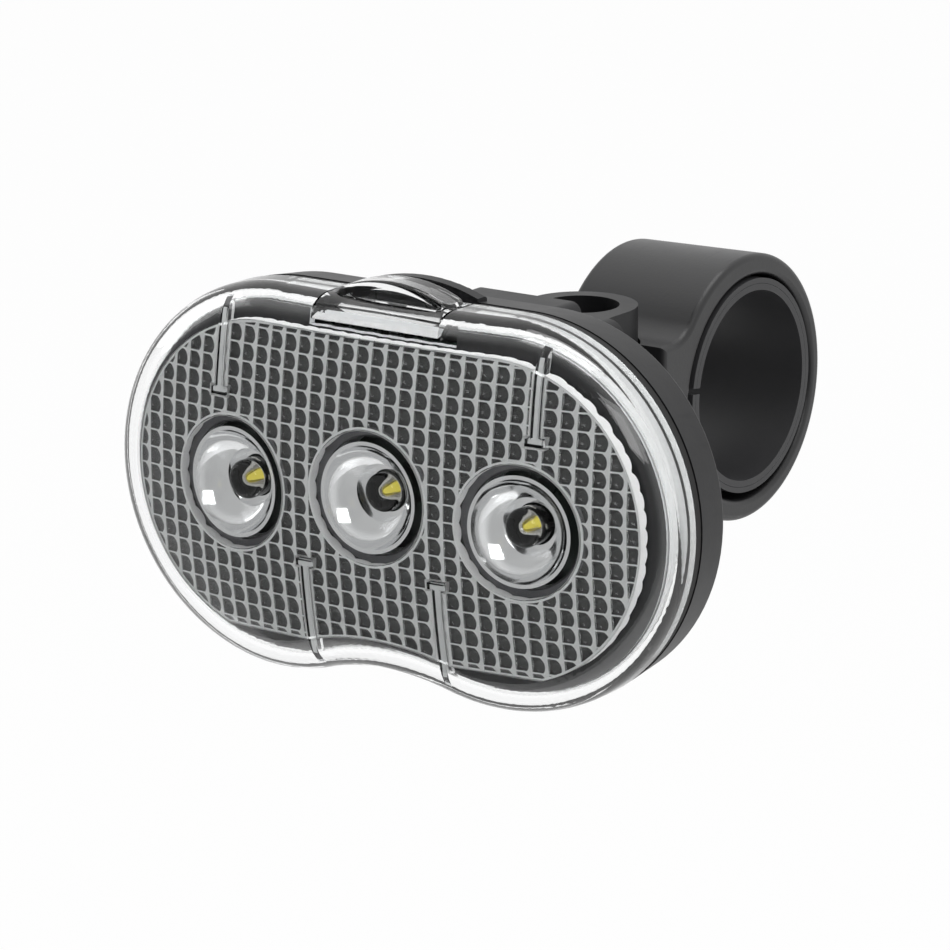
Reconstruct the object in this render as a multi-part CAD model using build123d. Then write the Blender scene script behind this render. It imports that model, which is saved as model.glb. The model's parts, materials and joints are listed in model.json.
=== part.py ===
from build123d import *
import math
import os

# Bike headlight on a handlebar clamp.
# Part frame: origin at the centre of the handlebar bore, +X along the bar to the viewer's right,
# -Y the way the lamp shines, +Z up. Lengths in millimetres, angles in degrees.
# The lamp is drawn in its own frame: y = 0 at the seam between cover and gasket, front at -y,
# z = 0 at the height of the outer lights.

# Handlebar and clamp ring
BAR_DIAMETER = 25.4
BAR_CLEARANCE = 0.05
INNER_SHIM_WALL = 0.85
OUTER_SHIM_WALL = 0.7
SHIM_GAP = 0.05
SHIM_OVERHANG = 0.25
SHIM_SLIT = 0.8
SHIM_SLIT_ANGLE = -8.0
RING_BORE_RADIUS = 15.05
RING_WALL = 2.85
RING_WIDTH = 19.6
RING_DRAFT = 0.4
RING_FORWARD = 0.21
RING_DROP = 0.3
RING_EDGE_ROUND = 0.8
RING_SAG = 0.42
SPLIT_ANGLE = 60.0
SPLIT_GAP = 2.0
LUG_THICKNESS = 3.4
LUG_TIP = 4.0
LUG_ROUND = 3.0
LUG_WIDTH = 13.0

# Neck, seat and swivel joint
BARREL_OFFSET = 1.2
SEAT_WALL = 1.4
SEAT_CLEARANCE = 0.35
BARREL_RADIUS = 7.4
BARREL_WALL = 2.4
BARREL_HEIGHT = 17.0
BARREL_FLOOR = 3.2
BARREL_TOP = 14.1
NECK_FRONT = 2.9
NECK_TOP = 9.1
NECK_DEPTH = 18.1
NECK_ROUND = 6.0
NECK_UNDER_ROUND = 4.0
SWIVEL_LUG_RADIUS = 6.5
SWIVEL_FACE_GAP = 0.3

# Fasteners
SCREW_RADIUS = 1.95
SCREW_RUNNING_GAP = 0.06
SCREW_HEAD_RADIUS = 3.5
SCREW_HEAD_HEIGHT = 2.4
SCREW_SLOT_WIDTH = 1.0
SCREW_SLOT_DEPTH = 1.1
WASHER_RADIUS = 4.4
WASHER_THICKNESS = 0.8
NUT_ACROSS_FLATS = 7.0
NUT_THICKNESS = 3.2
NUT_POCKET_GAP = 0.12
THREAD_PAST_NUT = 0.8
CLAMP_NUT_RADIUS = 5.4
CLAMP_NUT_THICKNESS = 4.6
CLAMP_NUT_CLEARANCE = 0.6
CLAMP_NUT_FLUTES = 12
FLUTE_RADIUS = 0.9
SEATING_GAP = 0.05

# Lamp outline, seen from the front
LOBE_RADIUS = 25.1
LOBE_SPACING = 34.7
LOBE_HEIGHT = 0.5
WAIST_HEIGHT = -21.8

# Clear front cover
COVER_DEPTH = 11.2
COVER_WALL = 2.0
COVER_EDGE_ROUND = 5.3
CROWN_RADIUS_ACROSS = 182.0
CROWN_RADIUS_UP = 105.0
CROWN_HEIGHT = 2.8
RIB_WIDTH = 1.0
RIB_FOOT_WIDTH = 2.4
RIB_FOOT_HEIGHT = 0.9
UPPER_RIB_PLACE = 23.8
UPPER_RIB_END = 11.0
LOWER_RIB_PLACE = 10.0
LOWER_RIB_END = -8.0
RIB_ROOT = 0.6

# Pillow optics
LENS_PITCH = 2.25
LENS_RISE = 0.8
OPTIC_INSET = 4.5
OPTIC_BASE = 0.7
OPTIC_GAP = 0.05
WINDOW_RADIUS = 8.5
RIB_NOTCH_GAP = 0.3

# Lights
LIGHT_SPACING = 21.6
MIDDLE_LIGHT_RISE = 1.4
CUP_RADIUS = 7.1
CUP_WALL = 0.5
CUP_DEPTH = 5.0
CUP_WELL_RADIUS = 3.7
CUP_WELL_START = 2.9
CUP_FRONT_GAP = 0.3
LED_RADIUS = 2.5
LED_FLANGE_RADIUS = 2.9
LED_FLANGE_HEIGHT = 1.0
LED_HEIGHT = 5.9
LED_EDGE_ROUND = 1.2
LED_HOLE_GAP = 0.2
LEAD_RADIUS = 0.3
LEAD_SPREAD = 1.27
LEAD_END = 2.4
LEAD_HOLE_GAP = 0.1
CUP_BOWL_BULGE = 0.3

# Lens frame, board and switch
FRAME_INSET = 2.6
FRAME_WALL = 1.2
FRAME_PLATE = 1.2
FRAME_GAP = 0.3
FRAME_SOCKET_LENGTH = 1.6
FRAME_HOLE_GAP = 0.35
BOARD_THICKNESS = 1.6
BOARD_BACK = 1.2
BOARD_NOTCH = 1.0
BOARD_SCREW_PLACE = 34.0
BOARD_SCREW_RADIUS = 1.1
BOARD_SCREW_HEAD_RADIUS = 2.1
BOARD_SCREW_HEAD_HEIGHT = 1.2
BOARD_BOSS_RADIUS = 2.4
BOARD_SCREW_LENGTH = 2.6
SWITCH_WIDTH = 6.0
SWITCH_HEIGHT = 3.6
SWITCH_DEPTH = 3.6
SWITCH_TOP = 18.6
PLUNGER_WIDTH = 2.0
PLUNGER_RISE = 1.6
PLUNGER_ROOT = 1.2
PLUNGER_GAP = 0.15

# Button
BUTTON_HALF_WIDTH = 9.3
BUTTON_FRONT = 7.2
BUTTON_GAP = 0.3
BUTTON_TRAVEL = 0.8
DOME_RISE = 2.4
DOME_EDGE_RISE = 0.3
DOME_HALF_WIDTH = 8.8
DOME_DEPTH = 4.9
DOME_LIFT = 1.5
DOME_ROUND = 1.6
DOME_EDGE_ROUND = 0.8
DOME_WALL = 1.2
CORE_HALF_WIDTH = 3.85
CORE_DEPTH = 1.6
FLANGE_HALF_WIDTH = 10.8
FLANGE_DEPTH = 3.7
FLANGE_THICKNESS = 1.0
STEM_HALF_WIDTH = 1.4

# Gasket
GASKET_START = 0.2
GASKET_THICKNESS = 1.4
GASKET_INSET = 0.3
GASKET_WIDTH = 2.1
GASKET_DIP = 1.7

# Rear housing
HOUSING_START = 1.8
RIM_INSET = 0.2
RIM_DEPTH = 5.8
RIM_TAPER = 6.9
RIM_ROUND = 0.5
HOUSING_DEPTH = 17.8
HOUSING_TAPER = 38.0
HOUSING_WALL = 2.0
HOUSING_BACK_ROUND = 3.0
COLLAR_HALF_WIDTH = 8.9
COLLAR_RISE = 1.8
COLLAR_EDGE_RISE = 0.2
COLLAR_DEPTH = 2.1
COLLAR_ROUND = 0.5
BOSS_HALF_WIDTH = 17.4
BOSS_TOP = 20.2
BOSS_BOTTOM = -15.0
BOSS_DEPTH = 4.4
BOSS_ROUND = 2.5
RAIL_HALF_WIDTH = 8.4
RAIL_TOP = 20.7
RAIL_BOTTOM = -12.0
RAIL_CAP = 2.0
RAIL_LIP = 1.8
RAIL_ROUND = 1.5
SLOT_HALF_WIDTH = 6.3
SLOT_DEPTH = 1.8
SLOT_MOUTH_HALF_WIDTH = 3.9

# Slide shoe
SHOE_GAP = 0.3
SHOE_PLATE = 2.0
SHOE_TOP = 17.0
SHOE_HEAD_GAP = 0.25
SHOE_ROUND = 1.0
SHOE_BOTTOM = -9.0
BARREL_STANDOFF = 10.24

# Battery compartment
CELL_RADIUS = 5.25
CELL_LENGTH = 44.5
CELL_BUTTON_RADIUS = 1.9
CELL_BUTTON_LENGTH = 0.8
CELL_PITCH = 10.8
CELL_RISE = 1.5
CELL_GAP = 0.25
CRADLE_WALL = 1.6
CRADLE_FRONT_SHARE = 0.45
CONTACT_THICKNESS = 0.4
CONTACT_GAP = 0.2
CONTACT_BUMP_RADIUS = 1.6
CONTACT_BUMP_HEIGHT = 0.7
CONTACT_FINGER = 4.0

# Cuts run past the faces that they open by this much
OVERRUN = 1.0

# Worked out from the sizes above
inner_shim_bore = BAR_DIAMETER / 2 + BAR_CLEARANCE
inner_shim_radius = inner_shim_bore + INNER_SHIM_WALL
outer_shim_bore = inner_shim_radius + SHIM_GAP
outer_shim_radius = outer_shim_bore + OUTER_SHIM_WALL
ring_radius = RING_BORE_RADIUS + RING_WALL
shim_length = RING_WIDTH + 2 * SHIM_OVERHANG
swivel_x = -BARREL_OFFSET
swivel_y = RING_SAG - RING_BORE_RADIUS - SEAT_WALL - SEAT_CLEARANCE - BARREL_RADIUS
barrel_bottom = BARREL_TOP - BARREL_HEIGHT
neck_bottom = NECK_TOP - NECK_DEPTH
neck_front = swivel_y + NECK_FRONT
screw_hole_radius = SCREW_RADIUS + SCREW_RUNNING_GAP

boss_back = HOUSING_DEPTH + BOSS_DEPTH
rail_back = boss_back + SLOT_DEPTH + RAIL_LIP
shoe_front = rail_back + SHOE_GAP
barrel_from_seam = shoe_front + SHOE_PLATE + BARREL_STANDOFF
shoe_head_top = RAIL_TOP - RAIL_CAP - SHOE_GAP
# The barrel's rim and the top of the shoe are level, which sets the height of the lamp
lamp_z = BARREL_TOP - SHOE_TOP
lamp_y = swivel_y - barrel_from_seam
lamp_place = Pos(swivel_x, lamp_y, lamp_z)

half_spacing = LOBE_SPACING / 2
outline_top = LOBE_HEIGHT + LOBE_RADIUS
half_width = half_spacing + LOBE_RADIUS
waist_drop = LOBE_HEIGHT - WAIST_HEIGHT
waist_radius = (half_spacing**2 + waist_drop**2 - LOBE_RADIUS**2) / (2 * (LOBE_RADIUS - waist_drop))
waist_centre = WAIST_HEIGHT - waist_radius

board_front = BOARD_BACK - BOARD_THICKNESS
button_front = -BUTTON_FRONT
notch_floor = outline_top - COVER_WALL - BUTTON_TRAVEL - BUTTON_GAP
gasket_floor = outline_top - DOME_LIFT - BUTTON_TRAVEL - BUTTON_GAP
flange_top = outline_top - COVER_WALL - BUTTON_GAP
flange_bottom = flange_top - FLANGE_THICKNESS
plunger_top = SWITCH_TOP + PLUNGER_RISE
switch_middle = board_front - SWITCH_DEPTH / 2
light_places = [
    ("left", -LIGHT_SPACING, 0),
    ("center", 0, MIDDLE_LIGHT_RISE),
    ("right", LIGHT_SPACING, 0),
]
cell_places = [("top", CELL_RISE + CELL_PITCH), ("middle", CELL_RISE), ("bottom", CELL_RISE - CELL_PITCH)]
housing_inside_back = HOUSING_DEPTH - HOUSING_WALL
cell_y = housing_inside_back - CRADLE_WALL - CELL_GAP - CELL_RADIUS


def box(x0, x1, y0, y1, z0, z1):
    """A block given by its two corners."""
    middle = ((x0 + x1) / 2, (y0 + y1) / 2, (z0 + z1) / 2)
    return Pos(*middle) * Box(x1 - x0, y1 - y0, z1 - z0)


def rod(radius, y0, y1, x=0, z=0):
    """A round bar along Y."""
    return Pos(x, (y0 + y1) / 2, z) * Rot(90, 0, 0) * Cylinder(radius, y1 - y0)


def post(radius, z0, z1, x=0, y=0):
    """A round bar along Z."""
    return Pos(x, y, (z0 + z1) / 2) * Cylinder(radius, z1 - z0)


def sleeve(outer, inner, length):
    """A tube along X, centred on the origin."""
    return Rot(0, 90, 0) * (Cylinder(outer, length) - Cylinder(inner, length + 2 * OVERRUN))


def bar_x(radius, x0, x1, y=0, z=0):
    """A round bar along X."""
    return Pos((x0 + x1) / 2, y, z) * Rot(0, 90, 0) * Cylinder(radius, x1 - x0)


def outline(inset):
    """The lamp's outline in the plane y = 0, moved inwards by inset."""
    lobe = LOBE_RADIUS - inset
    waist = waist_radius + inset
    reach = math.hypot(half_spacing, LOBE_HEIGHT - waist_centre)
    touch_x = half_spacing - lobe * half_spacing / reach
    touch_z = LOBE_HEIGHT - lobe * (LOBE_HEIGHT - waist_centre) / reach
    top = LOBE_HEIGHT + lobe
    left_top = (-half_spacing, 0, top)
    right_top = (half_spacing, 0, top)
    right_low = (touch_x, 0, touch_z)
    left_low = (-touch_x, 0, touch_z)
    edges = [
        Line(left_top, right_top),
        ThreePointArc(right_top, (half_spacing + lobe, 0, LOBE_HEIGHT), right_low),
        ThreePointArc(right_low, (0, 0, waist_centre + waist), left_low),
        ThreePointArc(left_low, (-half_spacing - lobe, 0, LOBE_HEIGHT), left_top),
    ]
    return Face(Wire([part.edge() for part in edges]))


def slab(inset, front, back):
    """The outline as a solid between two depths."""
    return Pos(0, front, 0) * Solid.extrude(outline(inset), (0, back - front, 0))


def crown(apex):
    """Everything behind the crowned front surface whose foremost point is at y = apex."""
    centre = apex + CROWN_RADIUS_ACROSS
    arc_centre = 2 * centre - apex - CROWN_RADIUS_UP
    half_height = CROWN_RADIUS_UP / 2
    reach = math.sqrt(CROWN_RADIUS_UP**2 - half_height**2)
    low = (0, arc_centre + reach, CROWN_HEIGHT - half_height)
    high = (0, arc_centre + reach, CROWN_HEIGHT + half_height)
    far = (0, arc_centre + CROWN_RADIUS_UP, CROWN_HEIGHT)
    axis_low = (0, centre, CROWN_HEIGHT - half_height)
    axis_high = (0, centre, CROWN_HEIGHT + half_height)
    edges = [
        ThreePointArc(low, far, high),
        Line(high, axis_high),
        Line(axis_high, axis_low),
        Line(axis_low, low),
    ]
    profile = Face(Wire([part.edge() for part in edges]))
    return Solid.revolve(profile, 360, Axis((0, centre, 0), (0, 0, 1)))


def crown_setback(x, z):
    """How far the crowned surface lies behind its foremost point."""
    up = CROWN_RADIUS_UP - math.sqrt(CROWN_RADIUS_UP**2 - (z - CROWN_HEIGHT) ** 2)
    across = CROWN_RADIUS_ACROSS - up
    return CROWN_RADIUS_ACROSS - math.sqrt(across**2 - x**2)


def window_holes(radius, front, back):
    """The three round windows as bars along Y."""
    return [rod(radius, front, back, x, z) for _, x, z in light_places]


def front_edges(solid, depth):
    """The edges that bound the crowned front face."""
    return [edge for edge in solid.edges() if edge.bounding_box().max.Y < depth]


def cover_block(inset, apex, edge_round):
    """The outline closed by the crowned front, with a rounded front edge."""
    block = slab(inset, apex - OVERRUN, 0) & crown(apex)
    return fillet(front_edges(block, -OVERRUN), edge_round)


cover_outside = cover_block(0, -COVER_DEPTH, COVER_EDGE_ROUND)
cover_hollow = cover_block(COVER_WALL, COVER_WALL - COVER_DEPTH, COVER_EDGE_ROUND - COVER_WALL)
cover_shell = cover_outside - cover_hollow - slab(COVER_WALL, -OVERRUN, OVERRUN)
insert_apex = COVER_WALL - COVER_DEPTH + OPTIC_GAP
frame_apex = insert_apex + OPTIC_BASE + LENS_RISE + FRAME_GAP


def rib_boxes(gap):
    """The four rib places, widened by gap: full height from the rim to the rib's end."""
    half = RIB_WIDTH / 2 + gap
    front = -COVER_DEPTH
    boxes = []
    for side in (-1, 1):
        x = side * UPPER_RIB_PLACE
        boxes.append(box(x - half, x + half, front, 0, UPPER_RIB_END - gap, outline_top))
        x = side * LOWER_RIB_PLACE
        boxes.append(box(x - half, x + half, front, 0, -half_width, LOWER_RIB_END + gap))
    return boxes


def rib_feet(gap):
    """The wider foot that ends each rib."""
    half = RIB_FOOT_WIDTH / 2 + gap
    front = -COVER_DEPTH
    feet = []
    for side in (-1, 1):
        x = side * UPPER_RIB_PLACE
        top = UPPER_RIB_END + RIB_FOOT_HEIGHT + gap
        feet.append(box(x - half, x + half, front, 0, UPPER_RIB_END - gap, top))
        x = side * LOWER_RIB_PLACE
        low = LOWER_RIB_END - RIB_FOOT_HEIGHT - gap
        feet.append(box(x - half, x + half, front, 0, low, LOWER_RIB_END + gap))
    return feet


def make_front_cover():
    rib_zone = cover_outside & (crown(-COVER_DEPTH + RIB_ROOT) - crown(frame_apex - FRAME_GAP))
    cover = cover_shell
    for rib in rib_boxes(0) + rib_feet(0):
        cover += rib & rib_zone
    half = BUTTON_HALF_WIDTH + BUTTON_GAP
    notch = box(-half, half, button_front - BUTTON_GAP, OVERRUN, notch_floor, outline_top + OVERRUN)
    return cover - notch


def make_optic_insert():
    """A sheet with square pillow lenses on its back: a lattice of low pyramids."""
    columns = math.ceil(half_width / LENS_PITCH)
    rows_up = math.ceil(outline_top / LENS_PITCH)
    rows_down = math.ceil(LOBE_RADIUS / LENS_PITCH)
    flat_front = insert_apex - OVERRUN

    def corner(i, j):
        x = (i - columns) * LENS_PITCH
        z = (j - rows_down) * LENS_PITCH
        return (x, insert_apex + OPTIC_BASE + crown_setback(x, z), z)

    def tip(i, j):
        x = (i - columns) * LENS_PITCH + LENS_PITCH / 2
        z = (j - rows_down) * LENS_PITCH + LENS_PITCH / 2
        return (x, insert_apex + OPTIC_BASE + LENS_RISE + crown_setback(x, z), z)

    def at_front(point):
        return (point[0], flat_front, point[2])

    def facet(*points):
        return Face(Wire.make_polygon(points))

    last_i = 2 * columns
    last_j = rows_up + rows_down
    facets = []
    for i in range(last_i):
        for j in range(last_j):
            ring = [corner(i, j), corner(i + 1, j), corner(i + 1, j + 1), corner(i, j + 1)]
            for k in range(4):
                facets.append(facet(ring[k], ring[(k + 1) % 4], tip(i, j)))
    rim = [corner(i, 0) for i in range(last_i)]
    rim += [corner(last_i, j) for j in range(last_j)]
    rim += [corner(i, last_j) for i in range(last_i, 0, -1)]
    rim += [corner(0, j) for j in range(last_j, 0, -1)]
    for k in range(len(rim)):
        a = rim[k]
        b = rim[(k + 1) % len(rim)]
        facets.append(facet(a, b, at_front(b), at_front(a)))
    ends = [at_front(point) for point in rim]
    facets.append(Face(Wire.make_polygon(ends)))
    lattice = Solid(Shell(facets))
    blank = slab(OPTIC_INSET, flat_front, 0) & crown(insert_apex)
    for hole in window_holes(WINDOW_RADIUS, flat_front - OVERRUN, OVERRUN):
        blank -= hole
    for notch in rib_boxes(RIB_NOTCH_GAP) + rib_feet(RIB_NOTCH_GAP):
        blank -= notch
    return blank & lattice


def make_lens_frame():
    """The black tray that carries the optics: a crowned plate with a skirt down to the board."""
    tray = slab(FRAME_INSET, -COVER_DEPTH, board_front - SEATING_GAP) & crown(frame_apex)
    inner = slab(FRAME_INSET + FRAME_WALL, -COVER_DEPTH, OVERRUN) & crown(frame_apex + FRAME_PLATE)
    frame = tray - inner
    hole = CUP_RADIUS + FRAME_HOLE_GAP
    behind = frame_apex + FRAME_PLATE + FRAME_SOCKET_LENGTH
    sockets = window_holes(hole + FRAME_WALL, frame_apex, behind + crown_setback(LIGHT_SPACING, 0))
    pillars = [
        rod(BOARD_BOSS_RADIUS, frame_apex, board_front - SEATING_GAP, side * BOARD_SCREW_PLACE)
        for side in (-1, 1)
    ]
    for piece in sockets + pillars:
        frame += piece & crown(frame_apex)
    for cutter in window_holes(hole, -COVER_DEPTH, OVERRUN):
        frame -= cutter
    for side in (-1, 1):
        depth = board_front - BOARD_SCREW_LENGTH
        frame -= rod(BOARD_SCREW_RADIUS + SEATING_GAP, depth, OVERRUN, side * BOARD_SCREW_PLACE)
    half = FLANGE_HALF_WIDTH + BUTTON_GAP
    floor = flange_bottom - BUTTON_TRAVEL - BUTTON_GAP
    return frame - box(-half, half, -COVER_DEPTH, OVERRUN, floor, outline_top)


def light_tilt(x):
    """The cups stand square to the crowned cover, so the outer ones lean outwards."""
    return math.degrees(math.asin(x / CROWN_RADIUS_ACROSS))


def cup_front(x, z):
    """The cup's flat rim clears the cover's wall where the wall lies deepest."""
    return COVER_WALL - COVER_DEPTH + CUP_FRONT_GAP + crown_setback(x, z - CUP_RADIUS)


def make_collimator(x, z):
    """A bright cup: a bowl, a ring edge, and a well round the light."""
    well_floor = CUP_DEPTH - CUP_WALL
    hole = LED_RADIUS + LED_HOLE_GAP
    lip = CUP_RADIUS - CUP_WALL
    neck = CUP_WELL_RADIUS + CUP_WALL
    neck_start = CUP_WELL_START + CUP_WALL
    bowl_middle = (lip + CUP_WELL_RADIUS) / 2 + CUP_BOWL_BULGE
    bowl_depth = CUP_WELL_START / 2 + CUP_BOWL_BULGE
    edges = [
        Line((lip, 0, 0), (CUP_RADIUS, 0, 0)),
        ThreePointArc(
            (CUP_RADIUS, 0, 0),
            (bowl_middle + CUP_WALL, bowl_depth + CUP_WALL / 2, 0),
            (neck, neck_start, 0),
        ),
        Line((neck, neck_start, 0), (neck, CUP_DEPTH, 0)),
        Line((neck, CUP_DEPTH, 0), (hole, CUP_DEPTH, 0)),
        Line((hole, CUP_DEPTH, 0), (hole, well_floor, 0)),
        Line((hole, well_floor, 0), (CUP_WELL_RADIUS, well_floor, 0)),
        Line((CUP_WELL_RADIUS, well_floor, 0), (CUP_WELL_RADIUS, CUP_WELL_START, 0)),
        ThreePointArc((CUP_WELL_RADIUS, CUP_WELL_START, 0), (bowl_middle, bowl_depth, 0), (lip, 0, 0)),
    ]
    cup = Solid.revolve(Face(Wire([part.edge() for part in edges])), 360, Axis.Y)
    return Pos(x, cup_front(x, z), z) * Rot(0, 0, light_tilt(x)) * cup


def light_x(x):
    """The lights stand on the flat board, under the middle of each leaning cup."""
    return x - CUP_DEPTH * x / CROWN_RADIUS_ACROSS


def make_led(x, z):
    centre = light_x(x)
    lens = rod(LED_RADIUS, board_front - LED_HEIGHT, board_front, centre, z)
    lens = fillet(lens.edges().sort_by(Axis.Y)[0], LED_EDGE_ROUND)
    led = lens + rod(LED_FLANGE_RADIUS, board_front - LED_FLANGE_HEIGHT, board_front, centre, z)
    for side in (-1, 1):
        led += rod(LEAD_RADIUS, board_front - LEAD_RADIUS, LEAD_END, centre + side * LEAD_SPREAD, z)
    return led


def make_led_board():
    board = slab(FRAME_INSET, board_front, BOARD_BACK)
    for _, x, z in light_places:
        for side in (-1, 1):
            hole = LEAD_RADIUS + LEAD_HOLE_GAP
            board -= rod(hole, -COVER_DEPTH, BOARD_BACK + OVERRUN, light_x(x) + side * LEAD_SPREAD, z)
    for side in (-1, 1):
        hole = BOARD_SCREW_RADIUS + SEATING_GAP
        board -= rod(hole, -COVER_DEPTH, BOARD_BACK + OVERRUN, side * BOARD_SCREW_PLACE)
    half = BUTTON_HALF_WIDTH + BUTTON_GAP + GASKET_WIDTH + BOARD_NOTCH
    floor = gasket_floor - GASKET_DIP - BOARD_NOTCH
    return board - box(-half, half, -COVER_DEPTH, BOARD_BACK + OVERRUN, floor, outline_top)


def make_board_screws():
    screws = []
    for side in (-1, 1):
        x = side * BOARD_SCREW_PLACE
        head_back = BOARD_BACK + BOARD_SCREW_HEAD_HEIGHT
        screw = rod(BOARD_SCREW_RADIUS, board_front - BOARD_SCREW_LENGTH + SEATING_GAP, head_back, x)
        screw += rod(BOARD_SCREW_HEAD_RADIUS, BOARD_BACK, head_back, x)
        slot = SCREW_SLOT_WIDTH / 2
        depth = BOARD_SCREW_HEAD_HEIGHT / 2
        reach = BOARD_SCREW_HEAD_RADIUS + OVERRUN
        screw -= box(x - reach, x + reach, head_back - depth, head_back + OVERRUN, -slot, slot)
        screws.append(screw)
    return Compound(children=screws)


def make_tact_switch():
    half = SWITCH_WIDTH / 2
    body = box(-half, half, board_front - SWITCH_DEPTH, board_front, SWITCH_TOP - SWITCH_HEIGHT, SWITCH_TOP)
    reach = PLUNGER_WIDTH / 2 + PLUNGER_GAP
    floor = SWITCH_TOP - PLUNGER_ROOT - BUTTON_TRAVEL - PLUNGER_GAP
    well = box(-reach, reach, switch_middle - reach, switch_middle + reach, floor, SWITCH_TOP + OVERRUN)
    return body - well


def make_tact_plunger():
    half = PLUNGER_WIDTH / 2
    low = SWITCH_TOP - PLUNGER_ROOT
    return box(-half, half, switch_middle - half, switch_middle + half, low, plunger_top)


def arch_radius(half, rise):
    """The radius of an arc that rises this much over this half width."""
    return (half**2 + rise**2) / (2 * rise)


def make_switch_button():
    """One clear key: an apron flush with the rim, a dome on top, a core and a retaining flange."""
    back = -SEATING_GAP
    half = BUTTON_HALF_WIDTH
    apron_floor = notch_floor + BUTTON_TRAVEL + BUTTON_GAP
    apron = cover_shell & box(-half, half, button_front, back, apron_floor, outline_top)
    wide = DOME_HALF_WIDTH
    radius = arch_radius(wide, DOME_RISE - DOME_EDGE_RISE)
    crest = outline_top + DOME_RISE
    dome_low = outline_top - DOME_LIFT
    arch = rod(radius, -DOME_DEPTH - OVERRUN, OVERRUN, 0, crest - radius)
    dome = box(-wide, wide, -DOME_DEPTH, back, dome_low, crest) & arch
    dome = fillet([edge for edge in dome.edges().filter_by(Axis.Z)], DOME_ROUND)
    top_edges = [edge for edge in dome.edges() if edge.center().Z > outline_top and not is_upright(edge)]
    dome = fillet(top_edges, DOME_EDGE_ROUND)
    key = apron + dome
    inner_arch = rod(radius - DOME_WALL, -DOME_DEPTH, 0, 0, crest - radius)
    pocket_low = apron_floor - OVERRUN
    for side in (-1, 1):
        ends = sorted((side * CORE_HALF_WIDTH, side * (wide - DOME_WALL)))
        key -= inner_arch & box(*ends, DOME_WALL - DOME_DEPTH, -DOME_WALL, pocket_low, crest)
    core = CORE_HALF_WIDTH
    key -= inner_arch & box(-core, core, DOME_WALL - DOME_DEPTH, -CORE_DEPTH, pocket_low, crest)
    key += box(-core, core, -CORE_DEPTH, back, flange_bottom, outline_top)
    key += box(-half, half, -FLANGE_DEPTH, back, flange_bottom, apron_floor + BUTTON_GAP)
    wide = FLANGE_HALF_WIDTH
    key += box(-wide, wide, -FLANGE_DEPTH, back, flange_bottom, flange_top)
    stem = STEM_HALF_WIDTH
    stem_low = plunger_top + SEATING_GAP
    return key + box(-stem, stem, switch_middle - stem, switch_middle + stem, stem_low, flange_bottom)


def is_upright(edge):
    """True for an edge that runs along Z."""
    return edge.bounding_box().size.Z > edge.bounding_box().size.X + edge.bounding_box().size.Y


def make_gasket():
    back = GASKET_START + GASKET_THICKNESS
    ring = slab(GASKET_INSET, GASKET_START, back)
    ring -= slab(GASKET_INSET + GASKET_WIDTH, GASKET_START - OVERRUN, back + OVERRUN)
    reach = BUTTON_HALF_WIDTH + BUTTON_GAP
    wide = reach + GASKET_WIDTH
    top = outline_top - GASKET_INSET
    ring += box(-wide, wide, GASKET_START, back, gasket_floor - GASKET_DIP, top)
    return ring - box(-reach, reach, 0, back + OVERRUN, gasket_floor, outline_top + OVERRUN)


def tapered(inset, front, back, taper):
    """The outline drawn backwards with sides that close in."""
    closed = inset + (back - front) * math.tan(math.radians(taper))
    ends = [Pos(0, front, 0) * outline(inset), Pos(0, back, 0) * outline(closed)]
    return Solid.make_loft([end.outer_wire() for end in ends], ruled=True)


rim_back = HOUSING_START + RIM_DEPTH
rim_closed = RIM_INSET + RIM_DEPTH * math.tan(math.radians(RIM_TAPER))


def inner_room(gap):
    """The space inside the housing, less a gap all round."""
    room = tapered(RIM_INSET + HOUSING_WALL + gap, HOUSING_START, rim_back, RIM_TAPER)
    deep = housing_inside_back - gap
    return room + tapered(rim_closed + HOUSING_WALL + gap, rim_back, deep, HOUSING_TAPER)


def make_rear_housing():
    shell = tapered(RIM_INSET, HOUSING_START, rim_back, RIM_TAPER)
    shell += tapered(rim_closed, rim_back, HOUSING_DEPTH, HOUSING_TAPER)
    shell = fillet(shell.faces().sort_by(Axis.Y)[-1].edges(), HOUSING_BACK_ROUND)
    corner = [edge for edge in shell.edges() if lies_at_depth(edge, rim_back)]
    shell = fillet(corner, RIM_ROUND)
    wide = COLLAR_HALF_WIDTH
    radius = arch_radius(wide, COLLAR_RISE - COLLAR_EDGE_RISE)
    crest = outline_top + COLLAR_RISE
    collar_back = HOUSING_START + COLLAR_DEPTH
    arch = rod(radius, HOUSING_START - OVERRUN, collar_back + OVERRUN, 0, crest - radius)
    collar = box(-wide, wide, HOUSING_START, collar_back, outline_top - HOUSING_WALL, crest) & arch
    back_edges = [edge for edge in collar.edges() if lies_at_depth(edge, collar_back)]
    top_edges = [edge for edge in back_edges if edge.center().Z > outline_top]
    shell += fillet(top_edges, COLLAR_ROUND)
    root = HOUSING_DEPTH - HOUSING_WALL / 2
    wide = BOSS_HALF_WIDTH
    boss = box(-wide, wide, root - HOUSING_WALL, boss_back, BOSS_BOTTOM, BOSS_TOP)
    boss = fillet(boss.edges().filter_by(Axis.Y), BOSS_ROUND)
    half = RAIL_HALF_WIDTH
    rail = box(-half, half, root, rail_back, RAIL_BOTTOM, RAIL_TOP)
    rail = fillet(rail.edges().filter_by(Axis.Y), RAIL_ROUND)
    shell = shell + boss + rail - inner_room(0)
    slot_top = RAIL_TOP - RAIL_CAP
    slot_low = BOSS_BOTTOM - OVERRUN
    slot_back = boss_back + SLOT_DEPTH
    shell -= box(-SLOT_HALF_WIDTH, SLOT_HALF_WIDTH, boss_back, slot_back, slot_low, slot_top)
    mouth = SLOT_MOUTH_HALF_WIDTH
    return shell - box(-mouth, mouth, boss_back, rail_back + OVERRUN, slot_low, slot_top)


def lies_at_depth(edge, y):
    """True for an edge in the plane at depth y."""
    size = edge.bounding_box()
    return max(abs(size.min.Y - y), abs(size.max.Y - y)) < SEATING_GAP


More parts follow.
